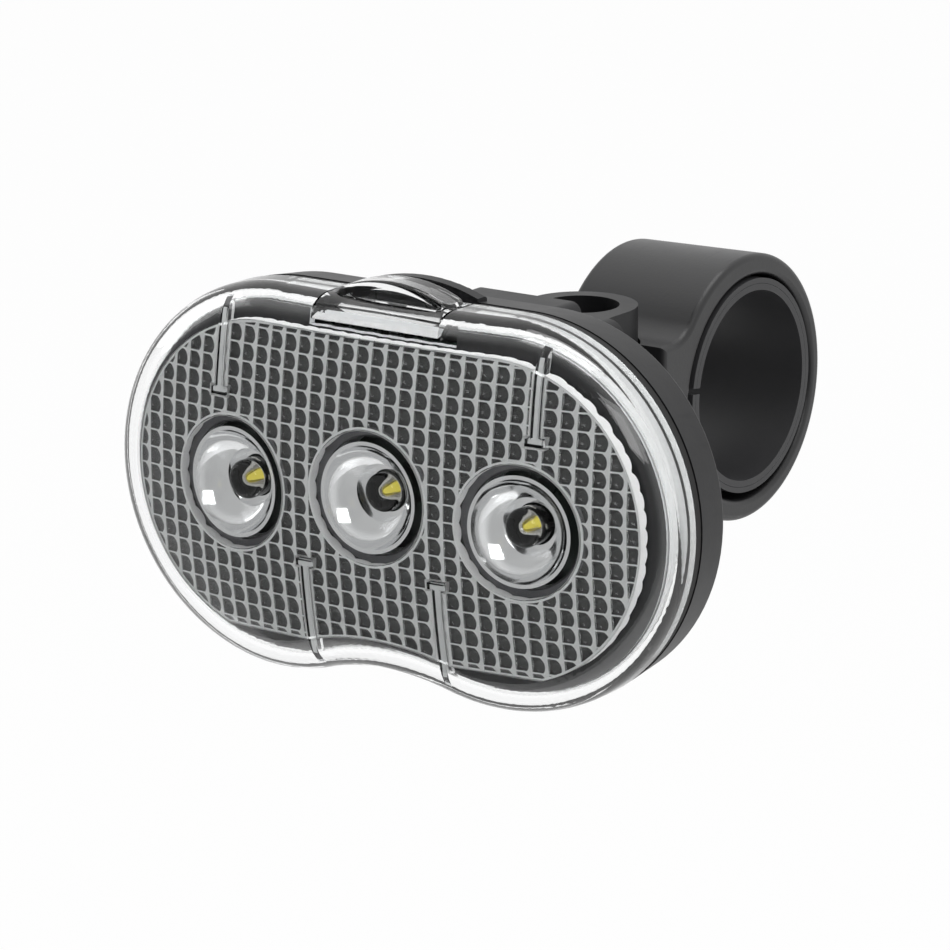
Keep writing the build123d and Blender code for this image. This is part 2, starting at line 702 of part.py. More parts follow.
def make_slide_shoe():
    """The T-shaped tongue that the lamp slides onto, with the upright barrel behind it."""
    gap = SHOE_HEAD_GAP
    low = SHOE_BOTTOM
    head_half = SLOT_HALF_WIDTH - gap
    head_front = boss_back + gap
    head = box(-head_half, head_half, head_front, head_front + SLOT_DEPTH - 2 * gap, low, shoe_head_top)
    web_half = SLOT_MOUTH_HALF_WIDTH - gap
    web = box(-web_half, web_half, head_front, shoe_front + SHOE_PLATE, low, SHOE_TOP)
    plate = box(-BARREL_RADIUS, BARREL_RADIUS, shoe_front, shoe_front + SHOE_PLATE, low, SHOE_TOP)
    plate = fillet(plate.edges().filter_by(Axis.Y), SHOE_ROUND)
    bottom = SHOE_TOP - BARREL_HEIGHT
    barrel = post(BARREL_RADIUS, bottom, SHOE_TOP, 0, barrel_from_seam)
    cheeks_front = shoe_front + SHOE_PLATE / 2
    barrel += box(-BARREL_RADIUS, BARREL_RADIUS, cheeks_front, barrel_from_seam, bottom, SHOE_TOP)
    shoe = head + web + plate + barrel
    well = BARREL_RADIUS - BARREL_WALL
    shoe -= post(well, bottom + BARREL_FLOOR, SHOE_TOP + OVERRUN, 0, barrel_from_seam)
    return shoe - post(screw_hole_radius, bottom - OVERRUN, SHOE_TOP, 0, barrel_from_seam)


def cell_body(z, gap):
    """A battery with its contact button, grown by gap."""
    half = (CELL_LENGTH + CELL_BUTTON_LENGTH) / 2
    body = bar_x(CELL_RADIUS + gap, -half - gap, half - CELL_BUTTON_LENGTH + gap, cell_y, z)
    return body + bar_x(CELL_BUTTON_RADIUS + gap, -half - gap, half + gap, cell_y, z)


cell_half_length = (CELL_LENGTH + CELL_BUTTON_LENGTH) / 2
contact_inside = cell_half_length + CONTACT_BUMP_HEIGHT / 2 + CONTACT_GAP
contact_outside = contact_inside + CONTACT_THICKNESS
cradle_front = cell_y + CELL_RADIUS * (1 - 2 * CRADLE_FRONT_SHARE)
cradle_half = contact_outside + CONTACT_GAP + CRADLE_WALL


def make_battery_cradle():
    block = box(-cradle_half, cradle_half, cradle_front, HOUSING_DEPTH, -outline_top, outline_top)
    cradle = block & inner_room(SEATING_GAP)
    for _, z in cell_places:
        bay = bar_x(CELL_RADIUS + CELL_GAP, -contact_outside, contact_outside, cell_y, z)
        cradle -= bay
    tall = CELL_PITCH + CELL_RADIUS + CELL_GAP
    for side in (-1, 1):
        ends = sorted((side * (contact_inside - CONTACT_GAP), side * (contact_outside + CONTACT_GAP)))
        cradle -= box(*ends, 0, cell_y + CELL_RADIUS, CELL_RISE - tall, CELL_RISE + tall)
    return cradle


def make_contact(side):
    """A stamped plate across the ends of the cells, with a finger forward to the board."""
    ends = sorted((side * contact_inside, side * contact_outside))
    tall = CELL_PITCH + CELL_RADIUS - CONTACT_GAP
    depth = cell_y + CELL_RADIUS - CONTACT_GAP
    plate = box(*ends, cell_y - CELL_RADIUS, depth, CELL_RISE - tall, CELL_RISE + tall)
    half = CONTACT_FINGER / 2
    plate += box(*ends, BOARD_BACK + CONTACT_GAP, cell_y, -half, half)
    for _, z in cell_places:
        reach = sorted((side * (contact_inside - CONTACT_BUMP_HEIGHT / 2), side * contact_outside))
        plate += bar_x(CONTACT_BUMP_RADIUS, *reach, cell_y, z)
    finger = box(*ends, 0, HOUSING_START + OVERRUN, -half, half)
    return plate & (inner_room(CONTACT_GAP) + finger)


at_ring = Pos(0, RING_SAG, -RING_SAG)
at_split = at_ring * Rot(SPLIT_ANGLE, 0, 0)
screw_reach = ring_radius + CLAMP_NUT_RADIUS + CLAMP_NUT_CLEARANCE
lug_end = screw_reach + LUG_TIP
lug_face = SPLIT_GAP / 2 + LUG_THICKNESS
swivel_lug_top = barrel_bottom - SWIVEL_FACE_GAP


def make_clamp_ring():
    """The split ring, its neck with the barrel's round seat, and the two clamp lugs."""
    half = RING_WIDTH / 2
    ring = Rot(0, 90, 0) * Cone(ring_radius - RING_DRAFT, ring_radius, RING_WIDTH)
    body = Pos(0, -RING_FORWARD, -RING_DROP) * ring
    body += box(-half, half, neck_front, 0, neck_bottom, NECK_TOP)
    body = fillet(neck_creases(body, NECK_TOP), NECK_ROUND)
    body = fillet(neck_creases(body, neck_bottom), NECK_UNDER_ROUND)
    body -= at_ring * bar_x(RING_BORE_RADIUS, -half - OVERRUN, half + OVERRUN)
    ends = [edge for edge in body.edges() if on_ring_end(edge, half)]
    body = fillet(ends, RING_EDGE_ROUND)
    lug = SWIVEL_LUG_RADIUS
    body += post(lug, neck_bottom, swivel_lug_top, swivel_x, swivel_y)
    sides = (swivel_x - lug, swivel_x + lug)
    body += box(*sides, swivel_y, neck_front + OVERRUN, neck_bottom, swivel_lug_top)
    seat = BARREL_RADIUS + SEAT_CLEARANCE
    body -= post(seat, swivel_lug_top, NECK_TOP + OVERRUN, swivel_x, swivel_y)
    body -= post(screw_hole_radius, neck_bottom - OVERRUN, NECK_TOP, swivel_x, swivel_y)
    body -= nut_body(NUT_POCKET_GAP, neck_bottom - OVERRUN, neck_bottom + NUT_THICKNESS + SEATING_GAP)
    wide = LUG_WIDTH / 2
    lugs = box(-wide, wide, -lug_end, -RING_BORE_RADIUS - RING_WALL / 2, -lug_face, lug_face)
    tips = [edge for edge in lugs.edges().filter_by(Axis.Z) if edge.center().Y < -screw_reach]
    body += at_split * fillet(tips, LUG_ROUND)
    slot = SPLIT_GAP / 2
    inside = OVERRUN - RING_BORE_RADIUS
    past = half + OVERRUN
    body -= at_split * box(-past, past, -lug_end - OVERRUN, inside, -slot, slot)
    return body - at_split * post(screw_hole_radius, -lug_face - OVERRUN, lug_face + OVERRUN, 0, -screw_reach)


def neck_creases(body, height):
    """The edges across the ring where it meets the neck's top or underside."""
    found = []
    for edge in body.edges():
        size = edge.bounding_box().size
        middle = edge.center()
        if abs(middle.Z - height) < SEATING_GAP and neck_front + OVERRUN < middle.Y < 0:
            if size.X > size.Y + size.Z:
                found.append(edge)
    return found


def on_ring_end(edge, half):
    """True for an edge that lies in one of the ring's two end faces."""
    box_x = edge.bounding_box()
    return abs(abs(edge.center().X) - half) < SEATING_GAP and box_x.size.X < SEATING_GAP


def nut_body(gap, z0, z1):
    """A hexagon along Z at the swivel axis, grown by gap."""
    radius = (NUT_ACROSS_FLATS / 2 + gap) / math.cos(math.pi / 6)
    hexagon = RegularPolygon(radius, 6)
    return Pos(swivel_x, swivel_y, z0) * extrude(hexagon, z1 - z0)


def make_shim(outer, inner):
    """A liner for the ring, slit along its front so that it springs open."""
    shim = sleeve(outer, inner, shim_length)
    half = shim_length / 2 + OVERRUN
    slit = SHIM_SLIT / 2
    cutter = box(-half, half, -outer - OVERRUN, 0, -slit, slit)
    return shim - Rot(SHIM_SLIT_ANGLE, 0, 0) * cutter


def make_screw(length):
    """A slotted cheese-head screw: head above z = 0, shank below."""
    screw = post(SCREW_HEAD_RADIUS, 0, SCREW_HEAD_HEIGHT) + post(SCREW_RADIUS, -length, 0)
    slot = SCREW_SLOT_WIDTH / 2
    reach = SCREW_HEAD_RADIUS + OVERRUN
    top = SCREW_HEAD_HEIGHT
    return screw - box(-reach, reach, -slot, slot, top - SCREW_SLOT_DEPTH, top + OVERRUN)


washer_floor = barrel_bottom + BARREL_FLOOR + SEATING_GAP
swivel_head = washer_floor + WASHER_THICKNESS + SEATING_GAP
nut_low = neck_bottom


def make_swivel_screw():
    return Pos(swivel_x, swivel_y, swivel_head) * make_screw(swivel_head - nut_low + THREAD_PAST_NUT)


def make_swivel_washer():
    disc = post(WASHER_RADIUS, washer_floor, washer_floor + WASHER_THICKNESS)
    disc -= post(screw_hole_radius, washer_floor - OVERRUN, swivel_head + OVERRUN)
    return Pos(swivel_x, swivel_y, 0) * disc


def make_swivel_nut():
    nut = nut_body(0, nut_low, nut_low + NUT_THICKNESS)
    top = nut_low + NUT_THICKNESS + OVERRUN
    return nut - post(screw_hole_radius, nut_low - OVERRUN, top, swivel_x, swivel_y)


def make_clamp_screw():
    length = 2 * lug_face + CLAMP_NUT_THICKNESS + THREAD_PAST_NUT
    return at_split * Pos(0, -screw_reach, lug_face + SEATING_GAP) * make_screw(length)


def make_clamp_nut():
    """A fluted round nut, turned by hand."""
    top = -lug_face - SEATING_GAP
    low = top - CLAMP_NUT_THICKNESS
    nut = post(CLAMP_NUT_RADIUS, low, top)
    rims = [edge for edge in nut.edges() if edge.bounding_box().size.Z < SEATING_GAP]
    nut = chamfer(rims, FLUTE_RADIUS / 3)
    for k in range(CLAMP_NUT_FLUTES):
        turn = Rot(0, 0, 360 * k / CLAMP_NUT_FLUTES)
        flute = post(FLUTE_RADIUS, low - OVERRUN, top + OVERRUN, CLAMP_NUT_RADIUS + FLUTE_RADIUS / 3)
        nut -= turn * flute
    nut -= post(screw_hole_radius, low - OVERRUN, top + OVERRUN)
    return at_split * Pos(0, -screw_reach, 0) * nut


def lamp_pieces():
    """Every node of the lamp, in the lamp's own frame."""
    pieces = {
        "front_cover": make_front_cover(),
        "optic_insert": make_optic_insert(),
        "lens_frame": make_lens_frame(),
        "led_board": make_led_board(),
        "board_screws": make_board_screws(),
        "tact_switch": make_tact_switch(),
        "tact_plunger": make_tact_plunger(),
        "switch_button": make_switch_button(),
        "housing_gasket": make_gasket(),
        "rear_housing": make_rear_housing(),
        "battery_cradle": make_battery_cradle(),
        "contact_left": make_contact(-1),
        "contact_right": make_contact(1),
        "slide_shoe": make_slide_shoe(),
    }
    for name, x, z in light_places:
        pieces["collimator_" + name] = make_collimator(x, z)
        pieces["led_" + name] = make_led(x, z)
    for name, z in cell_places:
        pieces["battery_" + name] = cell_body(z, 0)
    return {name: lamp_place * piece for name, piece in pieces.items()}


def clamp_pieces():
    """Every node of the clamp, in the part's frame."""
    return {
        "clamp_ring": make_clamp_ring(),
        "inner_shim": make_shim(inner_shim_radius, inner_shim_bore),
        "outer_shim": make_shim(outer_shim_radius, outer_shim_bore),
        "swivel_screw": make_swivel_screw(),
        "swivel_washer": make_swivel_washer(),
        "swivel_nut": make_swivel_nut(),
        "clamp_screw": make_clamp_screw(),
        "clamp_nut": make_clamp_nut(),
    }


os.makedirs("parts", exist_ok=True)
for name, piece in (lamp_pieces() | clamp_pieces()).items():
    export_step(piece, "parts/" + name + ".step")
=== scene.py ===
import json
import math

import bmesh
import bpy
from mathutils import Matrix, Vector


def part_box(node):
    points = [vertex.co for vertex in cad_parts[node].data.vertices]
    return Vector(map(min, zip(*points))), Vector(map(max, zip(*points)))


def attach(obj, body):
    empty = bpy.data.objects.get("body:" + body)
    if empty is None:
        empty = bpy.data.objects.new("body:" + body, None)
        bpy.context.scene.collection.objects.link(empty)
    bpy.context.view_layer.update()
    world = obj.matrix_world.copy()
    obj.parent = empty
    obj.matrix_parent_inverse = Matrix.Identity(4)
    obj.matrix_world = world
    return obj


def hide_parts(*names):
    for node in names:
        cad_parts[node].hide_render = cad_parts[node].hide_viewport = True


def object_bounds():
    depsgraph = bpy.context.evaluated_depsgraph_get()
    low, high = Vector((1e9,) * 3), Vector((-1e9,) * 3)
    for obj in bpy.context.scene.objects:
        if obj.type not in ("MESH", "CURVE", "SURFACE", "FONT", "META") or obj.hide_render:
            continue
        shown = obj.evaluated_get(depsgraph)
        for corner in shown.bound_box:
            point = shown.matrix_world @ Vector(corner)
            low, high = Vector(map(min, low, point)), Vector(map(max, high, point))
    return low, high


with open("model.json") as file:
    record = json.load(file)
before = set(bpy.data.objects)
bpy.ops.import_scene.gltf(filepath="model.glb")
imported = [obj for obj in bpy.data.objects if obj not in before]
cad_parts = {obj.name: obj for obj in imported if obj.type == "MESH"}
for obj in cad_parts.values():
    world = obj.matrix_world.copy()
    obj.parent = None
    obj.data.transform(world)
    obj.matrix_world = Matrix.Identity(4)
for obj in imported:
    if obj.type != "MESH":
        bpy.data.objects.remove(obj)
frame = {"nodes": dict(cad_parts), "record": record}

cad_low, cad_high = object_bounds()
MM = 0.001

# Sizes of the lamp, in millimetres, as in the CAD. The lamp's own frame has y = 0 at the seam
# between cover and gasket, and z = 0 at the height of the outer lights.
LAMP_PLACE = (-1.2, -62.12, -2.9)
LOBE_RADIUS = 25.1
HALF_SPACING = 17.35
LOBE_HEIGHT = 0.5
WAIST_HEIGHT = -21.8
COVER_DEPTH = 11.2
COVER_WALL = 2.0
CROWN_ACROSS = 182.0
CROWN_UP = 105.0
CROWN_HEIGHT = 2.8
LENS_PITCH = 2.25
PILLOW_RADIUS = 1.98
OPTIC_INSET = 4.5
OPTIC_BASE = 0.7
OPTIC_GAP = 0.05
WINDOW_RADIUS = 8.5
LIGHTS = (("left", -21.6, 0.0), ("center", 0.0, 1.4), ("right", 21.6, 0.0))

# The lens sheet as it is built here, in millimetres and in cells
WALL_INSIDE = COVER_WALL - COVER_DEPTH
SHEET_FRONT = WALL_INSIDE + OPTIC_GAP
COLUMNS, ROWS, CELL_STEPS = 38, 24, 8
CUTTER_FRONT, CUTTER_BACK = -30, 5
OUTLINE_STEPS, EDGE_STEPS, RIM_STEPS, CIRCLE_STEPS = 48, 64, 96, 96
SHARP_ANGLE, SHEET_SHARP_ANGLE = 35.0, 38.0

# The layer of painted light inside the sheet, and the painted bright lines along the sheet's edges
PAINTED_LIGHT_DEPTH, PAINTED_LIGHT_THICKNESS = 0.3, 0.1
PAINTED_LIGHT_INSET, PAINTED_LIGHT_WINDOW_GAP = 0.3, 0.1
LINE_WIDTH, LINE_THICKNESS = 0.28, 0.12
LINE_INSET, LINE_WINDOW_GAP = 0.12, 0.42

# The cover's four snap ribs: x, then the lowest and highest z of the sheet's slot and of the painted
# light in the rib's heart
RIBS = ((-23.8, (10.7, 30.0), (11.3, 21.5)), (23.8, (10.7, 30.0), (11.3, 21.5)),
        (-10.0, (-30.0, -7.7), (-20.3, -8.3)), (10.0, (-30.0, -7.7), (-20.3, -8.3)))
SLOT_HALF, SLOT_FOOT_HALF, SLOT_FOOT = 0.8, 1.5, 1.5
HEART_HALF, HEART_FOOT_HALF, HEART_FOOT = 0.3, 1.0, 0.7
HEART_DEPTH, HEART_THICKNESS, HEART_STEPS = 0.35, 0.12, 12
HEART_STAGGER = 0.02

# The band of painted light between the tray and the cover's wall, and the grey rings round the cups
RIM_INSETS = (2.15, 2.4)
RIM_FRONT, RIM_BACK = -7.2, -0.3
BUTTON_HALF = 11.0
BEZEL_RADIUS, BEZEL_WIDTH, BEZEL_FRONT, BEZEL_THICKNESS = 8.75, 1.05, -7.42, 0.06

# The inner parts of a light; the profiles are (radius, y) pairs from the bottom of the die cup
LEAD_END, CUP_FROM_TIP, CUP_SHIFT = 5.6, 2.6, 0.1
TURN_STEPS = 32
CUP_PROFILE = ((0, 0.45), (0.35, 0.45), (0.72, 0), (0.9, 0), (0.85, 0.9), (0, 0.9))
DOT_PROFILE = ((0, 0.2), (0.3, 0.22), (0.34, 0.3), (0.3, 0.44), (0, 0.44))
LEAD_BEVEL, LEAD_SHORTEST_EDGE, LEAD_LEAST_CORNER = 0.05, 0.3, 1.2

# Sockets of the colour mix node, and how much lighter a worn corner is
MIX_A, MIX_B, MIX_RESULT = 6, 7, 2
WORN_GAIN, WORN_LIFT = 2.2, 0.02


# Small tools

def new_object(name, data):
    piece = bpy.data.objects.new(name, data)
    bpy.context.scene.collection.objects.link(piece)
    return piece


def smooth(mesh, sharp_angle):
    """Smooth faces, with corners kept sharp from the given angle in degrees."""
    for polygon in mesh.polygons:
        polygon.use_smooth = True
    mesh.set_sharp_from_angle(angle=math.radians(sharp_angle))


def mesh_object(name, bm, material=None):
    mesh = bpy.data.meshes.new(name)
    bm.to_mesh(mesh)
    bm.free()
    smooth(mesh, SHARP_ANGLE)
    if material:
        mesh.materials.append(material)
    return new_object(name, mesh)


def closed_object(name, bm, material=None):
    """A closed bmesh as an object, with its faces turned outwards."""
    bmesh.ops.recalc_face_normals(bm, faces=bm.faces)
    return mesh_object(name, bm, material)


def lamp_point(x, y, z):
    """A point of the lamp's own frame, in metres of the part's frame."""
    return Vector(((x + LAMP_PLACE[0]) * MM, (y + LAMP_PLACE[1]) * MM, (z + LAMP_PLACE[2]) * MM))


def crown_setback(x, z):
    """How far the crowned front lies back at a point (x, z), in millimetres."""
    up = CROWN_UP - math.sqrt(CROWN_UP**2 - (z - CROWN_HEIGHT) ** 2)
    return CROWN_ACROSS - math.sqrt((CROWN_ACROSS - up) ** 2 - x**2)


def crown_point(x, y, z):
    """A point of the lamp that lies back with the crown."""
    return lamp_point(x, y + crown_setback(x, z), z)


def outline_points(inset, per_arc):
    """The lamp's outline moved inwards by inset.

    The points (x, z) run clockwise from the left lobe's foot."""
    drop = LOBE_HEIGHT - WAIST_HEIGHT
    waist_radius = (HALF_SPACING**2 + drop**2 - LOBE_RADIUS**2) / (2 * (LOBE_RADIUS - drop))
    waist_centre = WAIST_HEIGHT - waist_radius
    reach = math.hypot(HALF_SPACING, LOBE_HEIGHT - waist_centre)
    low = math.atan2(waist_centre - LOBE_HEIGHT, HALF_SPACING)
    lobe, waist = LOBE_RADIUS - inset, waist_radius + inset
    points = []
    left_low = math.pi - low
    for i in range(per_arc + 1):
        a = left_low + (math.pi / 2 - left_low) * i / per_arc
        points.append((-HALF_SPACING + lobe * math.cos(a), LOBE_HEIGHT + lobe * math.sin(a)))
    for i in range(per_arc + 1):
        a = math.pi / 2 + (low - math.pi / 2) * i / per_arc
        points.append((HALF_SPACING + lobe * math.cos(a), LOBE_HEIGHT + lobe * math.sin(a)))
    half_angle = math.asin(HALF_SPACING / reach)
    for i in range(1, per_arc):
        a = math.pi / 2 - half_angle + 2 * half_angle * i / per_arc
        points.append((waist * math.cos(a), waist_centre + waist * math.sin(a)))
    return points


def circle_points(radius, x, z):
    turn = 2 * math.pi / CIRCLE_STEPS
    return [(x + radius * math.cos(turn * i), z + radius * math.sin(turn * i))
            for i in range(CIRCLE_STEPS)]


def rectangle(x0, x1, z0, z1):
    return [(x0, z0), (x1, z0), (x1, z1), (x0, z1)]


def join_rows(bm, rows):
    """The sides of a bar through rows of corners, and a face at each of its ends."""
    count = len(rows[0])
    for a, b in zip(rows, rows[1:]):
        for i in range(count):
            j = (i + 1) % count
            bm.faces.new((a[i], a[j], b[j], b[i]))
    bm.faces.new(rows[0])
    bm.faces.new(rows[-1])


def cutter(name, points):
    """A closed block with the given outline that reaches right through the sheet."""
    bm = bmesh.new()
    join_rows(bm, [[bm.verts.new(lamp_point(x, y, z)) for x, z in points]
                   for y in (CUTTER_FRONT, CUTTER_BACK)])
    return closed_object(name, bm)


def cut(piece, cutters, operation):
    """Applies boolean cuts and removes the cutters."""
    for i, tool in enumerate(cutters):
        step = piece.modifiers.new("cut%d" % i, "BOOLEAN")
        step.operation = operation
        step.solver = "MANIFOLD"
        step.object = tool
    bake_modifiers(piece)
    for tool in cutters:
        bpy.data.objects.remove(tool)


def bake_modifiers(piece):
    """The evaluated object as a plain mesh."""
    graph = bpy.context.evaluated_depsgraph_get()
    graph.update()
    mesh = bpy.data.meshes.new_from_object(piece.evaluated_get(graph))
    piece.modifiers.clear()
    piece.data = mesh
    mesh.name = piece.name


# Nodes, and the shader node groups

def feed(tree, socket, value):
    """Sets a socket to a number, or links another socket to it."""
    if isinstance(value, (int, float)):
        socket.default_value = value
    else:
        tree.links.new(value, socket)


def math_node(tree, operation, a, b=None, clamp=False):
    node = tree.nodes.new("ShaderNodeMath")
    node.operation = operation
    node.use_clamp = clamp
    feed(tree, node.inputs[0], a)
    if b is not None:
        feed(tree, node.inputs[1], b)
    return node.outputs[0]


def ramp(tree, a, b, gain):
    """A mask: a less b, times gain, held between 0 and 1."""
    return math_node(tree, "MULTIPLY", math_node(tree, "SUBTRACT", a, b), gain, True)


def noise(tree, vector, scale, detail=2.0, roughness=0.5):
    node = tree.nodes.new("ShaderNodeTexNoise")
    tree.links.new(vector, node.inputs["Vector"])
    feed(tree, node.inputs["Scale"], scale)
    node.inputs["Detail"].default_value = detail
    node.inputs["Roughness"].default_value = roughness
    return node.outputs["Fac"]


def object_place(tree):
    return tree.nodes.new("ShaderNodeTexCoord").outputs["Object"]


def plain_normal(tree):
    return tree.nodes.new("ShaderNodeNewGeometry").outputs["Normal"]


def split_vector(tree, vector):
    node = tree.nodes.new("ShaderNodeSeparateXYZ")
    tree.links.new(vector, node.inputs[0])
    return node.outputs


def mix_colors(tree, mask, under, over):
    """The colour of a socket, with a fixed colour over it where the mask is 1."""
    node = tree.nodes.new("ShaderNodeMix")
    node.data_type = "RGBA"
    tree.links.new(mask, node.inputs["Factor"])
    tree.links.new(under, node.inputs[MIX_A])
    node.inputs[MIX_B].default_value = (*over, 1)
    return node.outputs[MIX_RESULT]


def shader_group(name, inputs, output_names):
    """A node group with inputs of one number or one colour.

    An output named Color is a colour, and the others are numbers."""
    group = bpy.data.node_groups.new(name, "ShaderNodeTree")
    for label, value in inputs:
        kind = "NodeSocketFloat" if isinstance(value, float) else "NodeSocketColor"
        socket = group.interface.new_socket(name=label, in_out="INPUT", socket_type=kind)
        socket.default_value = value
    for label in output_names:
        kind = "NodeSocketColor" if label == "Color" else "NodeSocketFloat"
        group.interface.new_socket(name=label, in_out="OUTPUT", socket_type=kind)
    given = group.nodes.new("NodeGroupInput").outputs
    return group, given, group.nodes.new("NodeGroupOutput").inputs


def make_variation_group():
    """Slow drift of colour and roughness over a surface, as on moulded plastic and handled metal."""
    group, given, made = shader_group(
        "surface_drift",
        [("Color", (0.5, 0.5, 0.5, 1)), ("Color Spread", 0.15), ("Roughness", 0.5),
         ("Roughness Spread", 0.1), ("Patch Scale", 60.0)],
        ("Color", "Roughness"),
    )
    fine_ratio, broad_share, fine_share = 9.0, 0.7, 0.3
    place = object_place(group)
    broad = noise(group, place, given["Patch Scale"], detail=3.0)
    fine = noise(group, place, math_node(group, "MULTIPLY", given["Patch Scale"], fine_ratio))
    both = math_node(group, "ADD", math_node(group, "MULTIPLY", broad, broad_share),
                     math_node(group, "MULTIPLY", fine, fine_share))
    centred = math_node(group, "SUBTRACT", both, 0.5)
    change = math_node(group, "MULTIPLY", centred, given["Color Spread"])
    scale = group.nodes.new("ShaderNodeVectorMath")
    scale.operation = "SCALE"
    group.links.new(given["Color"], scale.inputs[0])
    group.links.new(math_node(group, "ADD", change, 1.0), scale.inputs["Scale"])
    group.links.new(scale.outputs[0], made["Color"])
    change = math_node(group, "MULTIPLY", centred, given["Roughness Spread"])
    group.links.new(math_node(group, "ADD", given["Roughness"], change, True), made["Roughness"])
    return group


def make_grain_group():
    """The fine texture of a mould's wall, as a height in metres."""
    group, given, made = shader_group(
        "moulded_grain", [("Grain Scale", 2500.0), ("Depth", 0.00002)], ("Height",))
    grain = noise(group, object_place(group), given["Grain Scale"], detail=3.0, roughness=0.6)
    group.links.new(math_node(group, "MULTIPLY", grain, given["Depth"]), made["Height"])
    return group


def make_wear_group():
    """A mask that is 1 along outer corners, broken up as handling does it."""
    group, given, made = shader_group(
        "edge_wear", [("Width", 0.0004), ("Amount", 0.5), ("Patch Scale", 300.0)], ("Mask",))
    corner_gain, patch_start, patch_gain = 5.0, 0.35, 3.0
    bevel = group.nodes.new("ShaderNodeBevel")
    bevel.samples = 4
    group.links.new(given["Width"], bevel.inputs["Radius"])
    dot = group.nodes.new("ShaderNodeVectorMath")
    dot.operation = "DOT_PRODUCT"
    group.links.new(bevel.outputs[0], dot.inputs[0])
    group.links.new(plain_normal(group), dot.inputs[1])
    turned = ramp(group, 1.0, dot.outputs["Value"], corner_gain)
    drift = noise(group, object_place(group), given["Patch Scale"], detail=4.0)
    patches = ramp(group, drift, patch_start, patch_gain)
    broken = math_node(group, "MULTIPLY", turned, patches)
    group.links.new(math_node(group, "MULTIPLY", broken, given["Amount"], True), made["Mask"])
    return group


def make_scratch_group():
    """Hair-fine rub marks: a stretched noise as height, and the same as added roughness."""
    group, given, made = shader_group(
        "rub_marks", [("Scale", 900.0), ("Depth", 0.000004), ("Haze", 0.03)], ("Height", "Roughness"))
    mark_start, mark_gain = 0.62, 6.0
    stretch = group.nodes.new("ShaderNodeMapping")
    stretch.inputs["Rotation"].default_value = (0.4, 0.2, 0.7)
    stretch.inputs["Scale"].default_value = (1.0, 0.06, 0.5)
    group.links.new(object_place(group), stretch.inputs["Vector"])
    lines = noise(group, stretch.outputs[0], given["Scale"])
    thin = ramp(group, lines, mark_start, mark_gain)
    for measure, result in (("Depth", "Height"), ("Haze", "Roughness")):
        group.links.new(math_node(group, "MULTIPLY", thin, given[measure]), made[result])
    return group


SURFACE_DRIFT = make_variation_group()
MOULDED_GRAIN = make_grain_group()
EDGE_WEAR = make_wear_group()
RUB_MARKS = make_scratch_group()


# Materials

def place_group(tree, group, **values):
    node = tree.nodes.new("ShaderNodeGroup")
    node.node_tree = group
    for label, value in values.items():
        node.inputs[label.replace("_", " ")].default_value = value
    return node.outputs


def new_material(name):
    material = bpy.data.materials.new(name)
    material.use_nodes = True
    tree = material.node_tree
    return material, tree, tree.nodes["Principled BSDF"]


def surface_relief(tree, shader, drift, marks, texture):
    """The shader's roughness, and its bump from the texture's height with the rub marks'."""
    rough = math_node(tree, "ADD", drift["Roughness"], marks["Roughness"], True)
    tree.links.new(rough, shader.inputs["Roughness"])
    node = tree.nodes.new("ShaderNodeBump")
    node.inputs["Strength"].default_value = 1.0
    node.inputs["Distance"].default_value = 1.0
    height = math_node(tree, "ADD", texture["Height"], marks["Height"])
    tree.links.new(height, node.inputs["Height"])
    tree.links.new(node.outputs[0], shader.inputs["Normal"])


def opaque(name, color, roughness, spread=0.3, rough_spread=0.2, patch=60.0, grain=2500.0,
           depth=0.00002, metallic=0.0, wear=0.3, wear_color=None, wear_width=0.0004, specular=0.5):
    """A moulded or metal finish with drift, grain, rub marks and worn corners."""
    material, tree, shader = new_material(name)
    drift = place_group(tree, SURFACE_DRIFT, Color=(*color, 1), Color_Spread=spread,
                        Roughness=roughness, Roughness_Spread=rough_spread, Patch_Scale=patch)
    texture = place_group(tree, MOULDED_GRAIN, Grain_Scale=grain, Depth=depth)
    marks = place_group(tree, RUB_MARKS)
    corners = place_group(tree, EDGE_WEAR, Width=wear_width, Amount=wear)
    lighter = wear_color or tuple(min(1.0, c * WORN_GAIN + WORN_LIFT) for c in color)
    worn = mix_colors(tree, corners["Mask"], drift["Color"], lighter)
    tree.links.new(worn, shader.inputs["Base Color"])
    surface_relief(tree, shader, drift, marks, texture)
    shader.inputs["Metallic"].default_value = metallic
    shader.inputs["Specular IOR Level"].default_value = specular
    return material


def clear(name, color, roughness, index, wave=0.00001):
    """A clear moulding: slow waves in the surface, faint haze and rub marks."""
    haze = 0.02
    material, tree, shader = new_material(name)
    drift = place_group(tree, SURFACE_DRIFT, Color=(*color, 1), Color_Spread=0.02,
                        Roughness=roughness, Roughness_Spread=haze, Patch_Scale=90.0)
    waves = place_group(tree, MOULDED_GRAIN, Grain_Scale=70.0, Depth=wave)
    marks = place_group(tree, RUB_MARKS, Depth=0.000001, Haze=haze)
    tree.links.new(drift["Color"], shader.inputs["Base Color"])
    surface_relief(tree, shader, drift, marks, waves)
    shader.inputs["Transmission Weight"].default_value = 1.0
    shader.inputs["IOR"].default_value = index
    return material


def pale(name, color, spread):
    """A matt pale finish without wear, which stands in for light caught in clear plastic."""
    return opaque(name, color, 0.6, spread=spread, wear=0.0, grain=4000.0)


